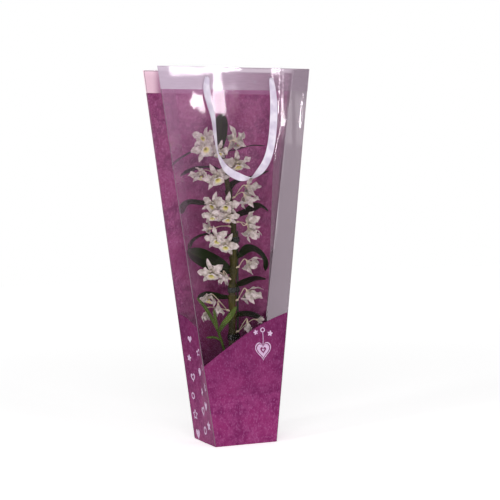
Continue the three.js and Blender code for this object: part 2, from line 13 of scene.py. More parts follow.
import bmesh
import bpy
from mathutils import Euler, Matrix, Vector

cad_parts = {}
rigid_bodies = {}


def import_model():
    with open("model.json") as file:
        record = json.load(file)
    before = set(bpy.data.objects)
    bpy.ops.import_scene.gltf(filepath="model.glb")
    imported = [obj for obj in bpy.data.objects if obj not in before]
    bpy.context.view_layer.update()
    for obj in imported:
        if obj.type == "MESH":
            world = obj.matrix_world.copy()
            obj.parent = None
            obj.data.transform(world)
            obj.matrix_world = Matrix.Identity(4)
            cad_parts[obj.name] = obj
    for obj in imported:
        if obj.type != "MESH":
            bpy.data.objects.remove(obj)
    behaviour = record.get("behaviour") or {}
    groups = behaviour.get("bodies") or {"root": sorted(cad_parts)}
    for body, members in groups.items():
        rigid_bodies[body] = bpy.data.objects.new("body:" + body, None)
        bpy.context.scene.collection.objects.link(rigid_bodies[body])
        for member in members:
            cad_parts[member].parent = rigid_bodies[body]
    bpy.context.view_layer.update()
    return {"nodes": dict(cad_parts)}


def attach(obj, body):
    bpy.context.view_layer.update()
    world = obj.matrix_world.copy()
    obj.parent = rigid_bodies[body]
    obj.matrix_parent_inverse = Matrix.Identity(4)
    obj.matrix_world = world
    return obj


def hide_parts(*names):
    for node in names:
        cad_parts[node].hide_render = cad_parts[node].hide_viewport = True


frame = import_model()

MM = 0.001

# %% [markdown]
# ## Camera and stage
# The camera comes first, because every later choice is judged through it. It stands a little to the left
# of the bag and a long way off, which keeps the tall edges nearly parallel, as a long lens does. The floor
# is plain and pale, and so is the light: two soft lights in front, and ten small bright panes whose mirror
# images are the white glints on the film.

# %% Camera
CAMERA_PLACE = (-0.99252, -2.51708, 0.4695)
CAMERA_RIGHT = (0.92426, -0.38113, -0.02180)
CAMERA_UP = (0.03212, 0.02074, 0.99927)
CAMERA_BACK = (-0.38040, -0.92429, 0.03141)

lens = bpy.data.cameras.new("camera")
lens.sensor_width = 36
lens.lens = 96.28
lens.shift_x, lens.shift_y = -0.00174, 0.00078
camera = bpy.data.objects.new("camera", lens)
turn = Matrix((CAMERA_RIGHT, CAMERA_UP, CAMERA_BACK)).transposed().to_4x4()
camera.matrix_world = Matrix.Translation(CAMERA_PLACE) @ turn
bpy.context.scene.collection.objects.link(camera)
bpy.context.scene.camera = camera
bpy.context.scene.view_settings.view_transform = "Standard"
print("camera at", CAMERA_PLACE, "lens", lens.lens, "mm")

# %% [markdown]
# ## Shader words
# A finish is easiest to read as arithmetic: `0.3 + 0.2 * grain` says more than a picture of four nodes.
# `Value` wraps a node's output and turns each operator into a Math node. `Finish` is one material, and its
# `node` method adds any other node: its settings first, then the values or links of its sockets.

# %% Colours and values
def paint(red, green, blue):
    """A colour as it is picked on a screen, 0 to 255, as the linear colour that a shader takes."""
    linear = [((c / 255 + 0.055) / 1.055) ** 2.4 if c > 10 else c / 3294 for c in (red, green, blue)]
    return (*linear, 1.0)


def math_node(operation, swapped=False):
    """A method that adds one Math node. swapped puts the value itself last, as 1 - mask needs."""
    def method(self, *others):
        terms = (*others, self) if swapped else (self, *others)
        return self.finish.node("ShaderNodeMath", {"operation": operation}, dict(enumerate(terms)))
    return method


class Value:
    def __init__(self, finish, socket):
        self.finish, self.socket = finish, socket

    __add__ = __radd__ = math_node("ADD")
    __sub__, __rsub__ = math_node("SUBTRACT"), math_node("SUBTRACT", swapped=True)
    __mul__ = __rmul__ = math_node("MULTIPLY")
    __pow__, __abs__, sine = math_node("POWER"), math_node("ABSOLUTE"), math_node("SINE")

    def step(self, low, high):
        """0 below low, 1 above high, and smooth between."""
        ends = {0: self, 1: low, 2: high, 3: 0.0, 4: 1.0}
        return self.finish.node("ShaderNodeMapRange", {"interpolation_type": "SMOOTHSTEP"}, ends)


# %% A finish
class Finish:
    def __init__(self, name):
        self.material = bpy.data.materials.new(name)
        self.material.use_nodes = True
        self.tree = self.material.node_tree
        self.tree.nodes.clear()

    def node(self, kind, settings=None, inputs=None, output=0):
        """Any node: its settings, the values or links of its sockets, and the output that is used."""
        made = self.tree.nodes.new(kind)
        for name, value in (settings or {}).items():
            setattr(made, name, value)
        for key, value in (inputs or {}).items():
            if isinstance(value, Value):
                self.tree.links.new(value.socket, made.inputs[key])
            else:
                made.inputs[key].default_value = value
        return Value(self, made.outputs[output])

    def place(self, axis=None):
        """The place on the piece in metres, or one axis of it."""
        spot = self.node("ShaderNodeTexCoord", output="Object")
        return spot if axis is None else self.node("ShaderNodeSeparateXYZ", inputs={0: spot}, output=axis)

    def along(self, axis):
        """The piece's own UV map: X runs across a sheet or blade and Y along it, both from 0 to 1."""
        return self.node("ShaderNodeSeparateXYZ", inputs={0: self.node("ShaderNodeUVMap")}, output=axis)

    def marked(self, name):
        """A mark that is stored on the piece's points or corners."""
        return self.node("ShaderNodeAttribute", {"attribute_name": name}, output="Fac")

    def stretched(self, *scale):
        """The place on the piece, scaled by its own number along each axis."""
        return self.node("ShaderNodeMapping", inputs={"Vector": self.place(), "Scale": scale})

    def noise(self, scale, detail, vector=None):
        inputs = {"Vector": vector or self.place(), "Scale": scale, "Detail": detail}
        return self.node("ShaderNodeTexNoise", inputs=inputs)

    def blend(self, share, first, second):
        """From the first colour to the second, by share."""
        return self.node("ShaderNodeMix", {"data_type": "RGBA"}, {0: share, 6: first, 7: second}, output=2)

    def bump(self, height, strength, distance):
        inputs = {"Height": height, "Strength": strength, "Distance": distance}
        return self.node("ShaderNodeBump", inputs=inputs)

    def surface(self, **sockets):
        inputs = {name.replace("_", " "): value for name, value in sockets.items()}
        return self.node("ShaderNodeBsdfPrincipled", inputs=inputs)

    def glass(self, colour):
        """The see-through shader, which lets light through unbent."""
        return self.node("ShaderNodeBsdfTransparent", inputs={"Color": colour})

    def cover(self, share, under, over):
        """The over shader on the under shader, by share."""
        return self.node("ShaderNodeMixShader", inputs={0: share, 1: under, 2: over})

    def done(self, shader=None, **sockets):
        """The finished material, from a shader or from the sockets of one surface."""
        last = shader or self.surface(**sockets)
        output = self.tree.nodes.new("ShaderNodeOutputMaterial")
        self.tree.links.new(last.socket, output.inputs["Surface"])
        print("finish:", self.material.name, len(self.tree.nodes), "nodes")
        return self.material


# %% Floor
FLOOR_SIZE, FLOOR_DROP = 12, 0.0005


def grey(level):
    return (level, level, level, 1)


def stage_floor():
    bpy.ops.mesh.primitive_plane_add(size=FLOOR_SIZE, location=(0, 0, -FLOOR_DROP))
    floor = bpy.context.object
    floor.name = "floor"
    finish = Finish("pale floor")
    away = (finish.place(0) ** 2 + finish.place(1) ** 2) ** 0.5
    glow = finish.blend(away.step(0.3, 3.5), grey(0.55), grey(0.72))
    floor.data.materials.append(
        finish.done(Base_Color=grey(0.9), Roughness=0.8, Emission_Color=glow, Emission_Strength=0.95))


stage_floor()


# %% Lights
def soft_light(name, place, target, width, height, power, turn=0.0, colour=(1.0, 1.0, 1.0)):
    lamp = bpy.data.lights.new(name, "AREA")
    lamp.shape, lamp.size, lamp.size_y, lamp.energy, lamp.color = "RECTANGLE", width, height, power, colour
    holder = bpy.data.objects.new(name, lamp)
    aim = (Vector(place) - Vector(target)).to_track_quat("Z", "Y").to_matrix().to_4x4()
    holder.matrix_world = Matrix.Translation(place) @ aim @ Matrix.Rotation(turn, 4, "Z")
    bpy.context.scene.collection.objects.link(holder)


def pale_surroundings(light, seen):
    """Light from all round, and the plain white that the camera sees behind everything."""
    world = bpy.data.worlds.new("studio")
    bpy.context.scene.world = world
    world.use_nodes = True
    nodes, links = world.node_tree.nodes, world.node_tree.links
    glow = nodes["Background"]
    path, mix = nodes.new("ShaderNodeLightPath"), nodes.new("ShaderNodeMix")
    mix.inputs[2].default_value, mix.inputs[3].default_value = light, seen
    links.new(path.outputs["Is Camera Ray"], mix.inputs[0])
    links.new(mix.outputs[0], glow.inputs["Strength"])
    glow.inputs["Color"].default_value = grey(1)


# A far window, as the clear film mirrors it: each pane's place in X and Z, its width, height, turn and
# brightness. The first six make the large patch, the others the long glint beside it.
PANES = [
    (0.815, 1.126, 0.25, 0.036, 0.02, 1), (0.857, 1.075, 0.075, 0.075, 0.1, 1),
    (0.856, 1.006, 0.088, 0.098, -0.12, 1), (0.765, 0.99, 0.095, 0.026, 0.3, 1.2),
    (0.752, 0.994, 0.03, 0.06, -0.5, 1.2), (0.785, 0.988, 0.028, 0.05, 0.7, 1.2),
    (1.17, 0.955, 0.085, 0.14, 0, 1.2), (1.25, 0.915, 0.11, 0.05, -0.4, 1),
    (1.125, 0.82, 0.045, 0.14, -0.3, 1), (1.165, 1.07, 0.045, 0.1, 0, 0.4),
]
PANE_Y, PANE_TARGET, PANE_POWER, PANE_COLOUR = -2.35, (0, 0, 0.7), 160, (1.0, 0.93, 0.99)

pale_surroundings(light=0.36, seen=1.0)
soft_light("wide light", (-0.9, -2.2, 2.3), (0, 0, 0.4), 1.6, 1.2, 26)
soft_light("left strip", (-2.2, -0.9, 1.3), (0, 0, 0.5), 0.3, 1.6, 10)
for number, (x, z, width, height, turn, share) in enumerate(PANES, 1):
    power = PANE_POWER * share * width * height
    soft_light(f"window pane {number}", (x, PANE_Y, z), PANE_TARGET, width, height, power, turn, PANE_COLOUR)
print("lights: surroundings and", 2 + len(PANES), "soft lights")

# %% [markdown]
# ## The ways of making that all pieces share
# Most of what we make is a sheet or a stem on a smooth line, and `smooth_path` gives the same line that the
# solids follow. `sheet_of` starts from a grid and puts each of its points where the real sheet runs. `tube`
# is a bevelled curve made a mesh, and `stacked` a ring of edges that is extruded and scaled from level to
# level. Every piece is finished by `piece`, which names it, smooths it and lets it ride on the model.

# %% Picking and smooth lines
def pick(*things):
    """Selects these things alone. The first one is active."""
    bpy.ops.object.select_all(action="DESELECT")
    for thing in things:
        thing.select_set(True)
    if things:
        bpy.context.view_layer.objects.active = things[0]


def smooth_path(points):
    """A smooth curve through the points, as a function of a share from 0 to 1."""
    spots = [Vector(p) for p in points]

    def at(share):
        place = min(max(share, 0), 1) * (len(spots) - 1)
        i = min(int(place), len(spots) - 2)
        w = place - i
        b, c = spots[i], spots[i + 1]
        a = spots[i - 1] if i > 0 else 2 * b - c
        d = spots[i + 2] if i + 2 < len(spots) else 2 * c - b
        first, middle, last = [math.sqrt((q - p).length) for p, q in ((a, b), (b, c), (c, d))]
        leave = ((b - a) / first - (c - a) / (first + middle) + (c - b) / middle) * middle
        arrive = ((c - b) / middle - (d - b) / (middle + last) + (d - c) / last) * middle
        return (b + leave * w + (3 * (c - b) - 2 * leave - arrive) * w ** 2
                + (2 * (b - c) + leave + arrive) * w ** 3)

    return at


def direction(path, share, reach=0.004):
    return (path(min(share + reach, 1)) - path(max(share - reach, 0))).normalized()


# %% Sheets, tubes and stacks
def merged(thing, reach=0.01 * MM):
    """Joins the points of a piece that lie in one place, which closes its seams, caps and poles."""
    pick(thing)
    bpy.ops.object.mode_set(mode="EDIT")
    bpy.ops.mesh.select_all(action="SELECT")
    bpy.ops.mesh.remove_doubles(threshold=reach)
    bpy.ops.object.mode_set(mode="OBJECT")
    return thing


def sheet_of(columns, rows, place):
    """A grid whose points go where place(across, along) says, both from 0 to 1."""
    pick()
    bpy.ops.mesh.primitive_grid_add(x_subdivisions=columns, y_subdivisions=rows, size=1,
                                    location=(0.5, 0.5, 0))
    bpy.ops.object.transform_apply(location=True)
    sheet = bpy.context.object
    for vertex in sheet.data.vertices:
        vertex.co = place(vertex.co.x, vertex.co.y)
    return sheet


def tube(points, radii, sides):
    """A round closed stem through the points, whose radius changes on the way."""
    curve = bpy.data.curves.new("stem", "CURVE")
    curve.dimensions, curve.bevel_depth, curve.use_fill_caps = "3D", 1.0, True
    curve.bevel_resolution = sides // 4 - 1
    line = curve.splines.new("POLY")
    line.points.add(len(points) - 1)
    for spot, point, radius in zip(line.points, points, radii):
        spot.co = (*point, 1)
        spot.radius = radius
    stem = bpy.data.objects.new("stem", curve)
    bpy.context.scene.collection.objects.link(stem)
    pick(stem)
    bpy.ops.object.convert(target="MESH")
    return merged(bpy.context.object)


def stacked(rings, sides):
    """A round closed piece from rings of (middle, radius), both in millimetres."""
    pick()
    middle, radius = rings[0]
    bpy.ops.mesh.primitive_circle_add(vertices=sides, radius=radius * MM, location=middle * MM)
    bpy.ops.object.transform_apply(location=True)
    bpy.ops.object.mode_set(mode="EDIT")
    bpy.ops.mesh.select_all(action="SELECT")
    bpy.ops.mesh.edge_face_add()
    bpy.ops.mesh.select_mode(type="EDGE")
    bpy.ops.mesh.region_to_loop()
    for (low, r0), (high, r1) in zip(rings, rings[1:]):
        bpy.ops.mesh.extrude_edges_move(TRANSFORM_OT_translate={"value": (high - low) * MM})
        bpy.ops.transform.resize(value=(r1 / r0, r1 / r0, 1))
    bpy.ops.mesh.edge_face_add()
    bpy.ops.mesh.select_mode(type="VERT")
    bpy.ops.mesh.select_all(action="SELECT")
    bpy.ops.mesh.normals_make_consistent(inside=False)
    bpy.ops.object.mode_set(mode="OBJECT")
    return bpy.context.object


# %% Copies, thickness and names
def copied(blank):
    """A copy of a blank with its own mesh, which shows although the blank is hidden."""
    copy = blank.copy()
    copy.data = blank.data.copy()
    copy.hide_render = False
    bpy.context.scene.collection.objects.link(copy)
    return copy


def apply_modifier(thing, kind, **settings):
    pick(thing)
    modifier = thing.modifiers.new(kind.lower(), kind)
    for name, value in settings.items():
        setattr(modifier, name, value)
    bpy.ops.object.modifier_apply(modifier=modifier.name)


def thicken(thing, thickness, smooth=False):
    """Gives a sheet its thickness, half to each side, and smooths it first if asked."""
    if smooth:
        apply_modifier(thing, "SUBSURF", levels=1, render_levels=1)
    apply_modifier(thing, "SOLIDIFY", thickness=thickness, offset=0.0, use_even_offset=True)
    return thing


def joined(things):
    pick(*things)
    bpy.ops.object.join()
    return bpy.context.object


def coloured(thing, material):
    thing.data.materials.clear()
    thing.data.materials.append(material)
    return thing


def piece(thing, name, nodes=(), angle=40):
    """Names a finished piece, shades it smooth, and lets it ride on the model."""
    pick(thing)
    bpy.ops.object.shade_smooth_by_angle(angle=math.radians(angle))
    thing.name = thing.data.name = name
    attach(thing, "root")
    if nodes:
        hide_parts(*nodes)
    print("piece:", name, len(thing.data.polygons), "faces")
    return thing


# %% [markdown]
# ## The bag's shape
# The bag is folded from four films: it is 131 by 120 mm at the foot, and 323 mm wide at the mouth. Its sides
# fold inwards along a crease, so the mouth gets shallower as it widens. All its pieces use these functions,
# so they meet at the folds.

# %% Sizes of the bag, in millimetres
BAG_HEIGHT, HEM_FOOT = 750, 705
FOOT_WIDTH, MOUTH_WIDTH = 131, 323
FOOT_DEPTH, MOUTH_DEPTH = 120, 87
CREASE_DEPTH, CREASE_TURN = 47.5, 900
PRINT_LOW, PRINT_HIGH = 161, 258


def mix(low, high, share):
    return low + (high - low) * share


def ease(low, high, x):
    share = min(max((x - low) / (high - low), 0), 1)
    return share * share * (3 - 2 * share)


def half_width(z):
    return mix(FOOT_WIDTH, MOUTH_WIDTH, z / BAG_HEIGHT) / 2


def half_depth(z):
    return mix(FOOT_DEPTH, MOUTH_DEPTH, z / BAG_HEIGHT) / 2


def fold_in(z):
    """How far the crease of a side lies inwards."""
    return CREASE_DEPTH * math.sin(math.pi / 2 * z / CREASE_TURN)


def mm(x, y, z):
    return Vector((x * MM, y * MM, z * MM))


print("mouth", 2 * half_width(BAG_HEIGHT), "x", 2 * half_depth(BAG_HEIGHT), "mm")
print("creases", round(fold_in(BAG_HEIGHT), 1), "mm inwards there")

# %% [markdown]
# ## The ribbon handles
# Each handle is one 15 mm satin ribbon that goes through two slits in the hem and hangs down in a loop. A
# ribbon never hangs flat: it turns on its edge down one side and lies open at the bottom. So it is a strip
# of grid laid along the loop, turned a little at each step, and gathered narrow where it enters the slit.

# %% Satin
def satin_finish():
    satin = Finish("pale lilac satin")
    ribs = (satin.along(1) * 2600).sine()
    crumple = satin.noise(55, 3)
    shade = satin.blend(crumple.step(0.35, 0.7), paint(200, 188, 209), paint(228, 220, 233))
    return satin.done(Base_Color=shade, Roughness=crumple * 0.18 + 0.3, Sheen_Weight=0.35,
                      Specular_IOR_Level=0.6, Normal=satin.bump(ribs * 0.15 + crumple, 0.35, 0.0006))


SATIN = satin_finish()

# %% Ribbons
RIBBON_WIDTH, RIBBON_THICKNESS, RIBBON_STEPS, LENGTH_STEPS = 15, 0.4, 220, 400

# Each stop has its X and Z, how far it stands off the film, and how far the ribbon is turned, in degrees.
RIBBON_WAY = [
    (-61, 731, -2.5, 0), (-61, 731, 0.8, 0),
    (-61, 727, 2.5, 0), (-63, 708, 3.2, 8), (-59, 680, 4.8, 20), (-52, 650, 6.2, 34), (-49, 610, 7.4, 50),
    (-44, 577, 8.0, 58), (-27, 548, 6.0, 16), (-4, 534, 5.0, -6), (12, 529, 7.6, -54), (26, 530, 8.6, -92),
    (42, 541, 6.6, -132), (59, 562, 5.0, -164), (70, 592, 4.8, -168), (77, 633, 4.2, -168),
    (80, 684, 3.4, -172), (77, 726, 2.5, -180), (77, 730, 0.8, -180), (77, 730, -2.5, -180),
]


def ribbon(side):
    """One handle and its length. side is -1 at the front and 1 at the back."""
    path = smooth_path([mm(x, side * (half_depth(z) + off), z) for x, z, off, _ in RIBBON_WAY])
    last = len(RIBBON_WAY) - 1
    outward = Vector((0, side, 0))

    def place(across, along):
        step = along * last
        i = min(int(step), last - 1)
        twist = math.radians(mix(RIBBON_WAY[i][3], RIBBON_WAY[i + 1][3], step - i))
        ahead = direction(path, along)
        wide = ahead.cross(outward).normalized()
        turned_wide = wide * math.cos(twist) + wide.cross(ahead).normalized() * math.sin(twist)
        turned_thin = ahead.cross(turned_wide).normalized()
        gather = mix(0.28, 1.0, ease(0.6, 3.4, min(step, last - step)))
        off = (across - 0.5) * RIBBON_WIDTH * gather
        cup = 0.9 * (1 - (2 * across - 1) ** 2) + 0.25 * math.sin(along * 95 + across * 3)
        return path(along) + turned_wide * off * MM + turned_thin * cup * MM

    strip = thicken(sheet_of(6, RIBBON_STEPS, place), RIBBON_THICKNESS * MM)
    spots = [path(i / LENGTH_STEPS) for i in range(LENGTH_STEPS + 1)]
    length = sum((end - start).length for start, end in zip(spots, spots[1:]))
    return coloured(strip, SATIN), length


# %% Knots, and both handles
SLITS = [(-61, 731), (77, 730)]


def slit_knot(x, z, side):
    """The knot that keeps the ribbon from slipping back out."""
    pick()
    bpy.ops.mesh.primitive_ico_sphere_add(subdivisions=4, radius=(4 if side < 0 else 2.6) * MM)
    knot = bpy.context.object
    for vertex in knot.data.vertices:
        spot = vertex.co.normalized()
        wrap = math.sin(7 * math.atan2(spot.z, spot.x + 0.4 * spot.y) + 5 * spot.y)
        vertex.co *= 0.93 + 0.07 * wrap
        vertex.co.y *= 0.55
        vertex.co.z *= 0.9
        vertex.co += mm(x, side * (half_depth(z) - 5), z)
    return coloured(knot, SATIN)


for side, name in ((-1, "front"), (1, "back")):
    strip, length = ribbon(side)
    knots = joined([slit_knot(x, z, side) for x, z in SLITS])
    piece(knots, f"ribbon_knots_{name}")
    piece(strip, f"ribbon_{name}", [f"ribbon_handle_{name}"])
    print("ribbon", name, "length", round(length, 4), "m")

# %% [markdown]
# ## Film and print
# One clear film makes the front and both sides, and the same film is printed at its foot. The clear part is
# three things at once: mostly a tinted see-through shader, a little mirror that grows towards grazing
# angles, and a little milk from dust and fine scratches. Part of that milk is painted light: a painted glare
# veil on the upper front and beside its left fold, and on the right side a painted grey veil with a darker
# tint, for its glancing reflections and the extra film it is seen through. The print lies over all of that
# where the mark `under_print_edge`, which we store on the film's points, is above zero. Its pattern is a
# mottled paper: fine fibres over soft blotches, with painted shade that darkens it above the pot's rim.

# %% The print's pattern
def plum_print(finish, contrast):
    """The mottled paper print: its colour and how its fibres rise."""
    cloud = finish.noise(17, 2)
    blotch = finish.noise(92, 5)
    fleck = finish.noise(330, 4, finish.stretched(1, 1, 0.7))
    fibre = finish.noise(700, 2, finish.stretched(0.5, 1, 1))
    deep = finish.blend(cloud.step(0.32, 0.68), paint(117, 35, 89), paint(141, 47, 104))
    soft = finish.blend(blotch.step(0.38, 0.66) * 0.6 * contrast, deep, paint(156, 70, 124))
    light = finish.blend(fleck.step(0.48, 0.72) * 0.44 * contrast, soft, paint(182, 108, 162))
    return finish.blend(fibre.step(0.52, 0.75) * 0.3 * contrast, light, paint(96, 26, 68)), fibre


# %% Clear film and its print
def see_through(finish, clear, milk, milk_colour):
    """Clear film: a see-through shader with a share of milk in it, and a mirror's gloss over both."""
    facing = finish.node("ShaderNodeLayerWeight", inputs={"Blend": 0.5}, output="Facing")
    gloss = facing ** 4 * 0.42 + finish.place(2).step(0.28, 0.56) * 0.0105 + 0.0035
    ripple = finish.bump(finish.noise(9, 3), 0.04, 0.004)
    mirror = finish.surface(Base_Color=grey(1), Metallic=1.0, Roughness=0.035, Normal=ripple)
    milky = finish.surface(Base_Color=milk_colour, Roughness=0.45)
    return finish.cover(gloss, finish.cover(milk, clear, milky), mirror)


FOLD_SLOPE = (MOUTH_WIDTH - FOOT_WIDTH) / BAG_HEIGHT / 2


def film_finish():
    film = Finish("clear film, printed at its foot")
    colour, fibre = plum_print(film, contrast=0.8)
    # Painted shade: the front print is painted darker above the pot's rim, and darker still towards its upper
    # edge.
    height = film.place(2) + film.noise(16, 2) * 0.016
    painted_print_shade = height.step(0.1, 0.108) * 0.17 + height.step(0.13, 0.24) * 0.26
    ink = film.surface(Base_Color=film.blend(painted_print_shade, colour, paint(66, 16, 54)), Roughness=0.42,
                       Specular_IOR_Level=0.04, Normal=film.bump(fibre, 0.1, 0.0004))
    # The stored mark is a painted veil. Where it is high, on the right side, the film is tinted darker and
    # made milky grey. This stands in for the glancing reflections and the extra film that the right side is
    # seen through.
    painted_veil_share = film.marked("painted_side_veil")
    # Painted reflection: the upper front, most of all on its left, and a band beside the left fold get extra
    # milk as a painted glare veil. The milk share below is the real dust plus this painted glare and the
    # right side's painted veil.
    high = film.place(2).step(0.38, 0.72)
    from_fold = film.place(0) + film.place(2) * FOLD_SLOPE + FOOT_WIDTH / 2 * MM
    painted_light_beside_fold = from_fold.step(0.036, 0.006) * film.place(2).step(0.24, 0.34) * 0.055
    painted_glare_veil = (high * (film.place(0).step(-0.01, -0.12) * 0.13 + 0.035) + painted_light_beside_fold) * painted_veil_share.step(0.05, 0.02)
    dust_and_painted_veil = film.noise(30, 3).step(0.4, 0.75) * 0.007 + painted_veil_share * 0.22 + painted_glare_veil + 0.0015
    clear = film.cover(painted_veil_share * painted_veil_share, film.glass((0.95, 0.91, 0.94, 1)), film.glass((0.31, 0.27, 0.3, 1)))
    milk_colour = film.blend(painted_veil_share, (0.64, 0.38, 0.58, 1), (0.42, 0.35, 0.4, 1))
    printed = film.marked("under_print_edge").step(-0.0006, 0.0006)
    return film.done(film.cover(printed, see_through(film, clear, dust_and_painted_veil, milk_colour), ink))


# %% Folds, hem and back
def fold_finish():
    fold = Finish("welded fold")
    milky = fold.surface(Base_Color=(0.4, 0.33, 0.38, 1), Roughness=0.5)
    return fold.done(fold.cover(fold.noise(60, 2) * 0.3 + 0.3, fold.glass((0.62, 0.55, 0.6, 1)), milky))


def frost_finish():
    frost = Finish("frosted hem")
    grain = frost.noise(160, 3, frost.stretched(0.3, 1, 3))
    # Painted light: towards the left, the hem is made milkier and lighter, as painted light falling on that
    # end.
    left = frost.place(0).step(0.13, -0.13)
    milk = frost.blend(left, (0.46, 0.37, 0.45, 1), (0.62, 0.52, 0.64, 1))
    clear = frost.glass((0.68, 0.59, 0.66, 1))
    return frost.done(see_through(frost, clear, grain * 0.14 + left * 0.36 + 0.24, milk))


def back_finish():
    back = Finish("printed back")
    colour, fibre = plum_print(back, contrast=1.2)
    hem_foot = HEM_FOOT * MM
    below_hem = back.place(2).step(hem_foot + 0.0005, hem_foot - 0.0005)
    # The hem band is plum; its pale pink left end is a painted highlight.
    hem = back.blend(back.place(0).step(-0.122, -0.146), paint(158, 98, 138), paint(252, 222, 232))
    # Painted shade: at mid height and right of its left end, the back is blended towards a dark plum, as the
    # shade inside the bag.
    middle = back.place(2).step(0.62, 0.44) * back.place(2).step(0.2, 0.3) * back.place(0).step(-0.11, -0.06)
    shown = back.blend(below_hem, hem, back.blend(middle * 0.28, colour, paint(92, 14, 52)))
    return back.done(Base_Color=shown, Roughness=0.36, Specular_IOR_Level=0.35,
                     Normal=back.bump(fibre, 0.1, 0.0004))


FILM, FOLD, FROST, PRINT = film_finish(), fold_finish(), frost_finish(), back_finish()

# %% [markdown]
# ## The film shell
# A bag like this is never flat: the front domes a little, has one long soft ridge where it was folded for
# packing, and is crumpled near the mouth. These millimetres make its glints. The front and sides are grids
# that meet on the folds, merged there into one shell, and a thin bead of welded film runs up each fold.

# %% Where the front film runs
# The X of the long ridge at some heights.
RIDGE = [(440, 70), (485, 71), (586, 80.5), (636, 94), (662, 95), (700, 98), (750, 100)]


def ridge_at(z):
    for (low, start), (high, end) in zip(RIDGE, RIDGE[1:]):
        if low <= z <= high:
            return mix(start, end, (z - low) / (high - low))
    return RIDGE[0][1]


def front_bulge(x, z):
    """How far the front stands out of its flat shape."""
    share = x / half_width(z)
    edge = 1 - share * share
    dome = 1.0 * edge * math.sin(math.pi * z / BAG_HEIGHT)
    aside = x - ridge_at(z)
    ridge = 1.45 * math.exp(-(aside / (14 if aside < 0 else 34)) ** 2) * ease(430, 560, z)
    crumple = math.sin(x / 21 + z / 33) * math.sin(x / 15 - z / 47 + 1) * ease(600, 700, z)
    buckle = 0.3 * math.exp(-((half_width(z) - 5 - x) / 4) ** 2) * ease(600, 640, z) * ease(715, 690, z)
    return dome + (ridge + 0.08 * crumple) * min(edge * 4, 1) + buckle


def front_spot(x, z, lift=0.0):
    return mm(x, -half_depth(z) - front_bulge(x, z) - lift, z)


# %% Sides, and the print's upper edge
def side_spot(side, share, z):
    """A point of a side film: share 0 is on the front fold, 0.5 in the crease and 1 on the back fold."""
    inward = 1 - abs(2 * share - 1)
    sway = 0.8 * math.sin(z / 60 + 3 * share) * inward
    x = side * (half_width(z) - fold_in(z) * inward + sway)
    return mm(x, mix(-half_depth(z), half_depth(z), share), z)


def front_edge(x, y):
    """The height of the print's edge on the front, which climbs from the left fold to the right one."""
    share = min(max((x + 84) / 180, 0), 1)
    return mix(PRINT_LOW, PRINT_HIGH, (share + math.sin(share * math.pi / 2)) / 2)


def left_edge(x, y):
    return mix(PRINT_LOW, PRINT_HIGH, math.sin(math.pi / 2 * min(max((y + 57) / 115, 0), 1)))


def right_edge(x, y):
    return PRINT_HIGH - 24 * math.cos(math.pi / 2 * y / 55)


def right_painted_veil(x, y, z):
    """The right side's share of painted veil, which stands in for its glancing reflections and the extra film
    it is seen through: full beside the front fold, and less in the pleat and behind it.
    """
    share = 0.5 + y / (2 * half_depth(max(z, 1)))
    border = 0.49 + 0.3 * ease(400, 330, z) - 0.19 * max(0, (z - 300) / 450) ** 0.7
    return 1 - 0.65 * ease(border - 0.03, border + 0.03, share)


# %% Clear film
# The left side gets only a small share of the painted veil.
FILM_ROWS, LEFT_PAINTED_VEIL = 150, 0.06


def store(thing, name, value_at, domain="POINT"):
    """Stores value_at(x, y, z), with the place in millimetres, on each point or each face corner."""
    marks = thing.data.attributes.new(name, "FLOAT", domain)
    points = thing.data.vertices
    if domain == "CORNER":
        points = [points[corner.vertex_index] for corner in thing.data.loops]
    for point, mark in zip(points, marks.data):
        mark.value = value_at(*(point.co / MM))
    return thing


def film_grid(columns, spot_at, edge_at, painted_veil_at):
    """One film of the shell. Stored on it are how far a point lies under the print's edge, and its share of
    painted veil.
    """
    film = sheet_of(columns, FILM_ROWS, lambda u, v: spot_at(u, BAG_HEIGHT * v))
    store(film, "under_print_edge", lambda x, y, z: (edge_at(x, y) - z) * MM)
    return store(film, "painted_side_veil", painted_veil_at, "CORNER")


shell = merged(joined([
    film_grid(120, lambda u, z: front_spot((2 * u - 1) * half_width(z), z), front_edge, lambda *spot: 0),
    film_grid(16, lambda u, z: side_spot(-1, 1 - u, z), left_edge, lambda *spot: LEFT_PAINTED_VEIL),
    film_grid(20, lambda u, z: side_spot(1, u, z), right_edge, right_painted_veil),
]), 0.2 * MM)
piece(coloured(shell, FILM), "bag_clear_film",
      ["bag_front_panel", "bag_left_gusset_front", "bag_left_gusset_back",
       "bag_right_gusset_front", "bag_right_gusset_back"], angle=30)

# %% Hem and folds
HEM_REACH, HEM_LIFT = 1.2, 0.5
BEAD_TOP, FOLD_BEAD, MOUTH_BEAD = 749, 0.55, 0.6


def front_hem():
    """The front's top edge, folded double: a frosted band that stands just off the film."""
    def place(u, v):
        z = mix(HEM_FOOT, BAG_HEIGHT, v)
        return front_spot((2 * u - 1) * (half_width(z) + HEM_REACH), z, HEM_LIFT)
    return coloured(sheet_of(120, 10, place), FROST)


def bead(points, radius):
    """A thin bead of welded film."""
    return coloured(tube(points, [radius * MM] * len(points), 8), FOLD)


def fold_bead(side_x, side_y):
    heights = [1 + (BEAD_TOP - 1) * i / 60 for i in range(61)]
    return bead([mm(side_x * half_width(z), side_y * half_depth(z), z) for z in heights], FOLD_BEAD)


def mouth_bead(side_y):
    reach, depth = half_width(BEAD_TOP), side_y * half_depth(BEAD_TOP)
    return bead([mm(x / 20 * reach, depth, BEAD_TOP) for x in range(-20, 21)], MOUTH_BEAD)


beads = [mouth_bead(-1), mouth_bead(1), *[fold_bead(x, y) for x in (-1, 1) for y in (-1, 1)]]
piece(joined([front_hem(), *beads]), "bag_hem_and_folds", angle=60)

# %% [markdown]
# ## The printed ornaments
# Pale hearts, stars and rings are printed over the mottled paper. Each of them is a band between two sizes
# of one closed outline, and a band that starts at size 0 is filled. The outlines are drawn flat, in
# millimetres, and then every point is put where the film is.

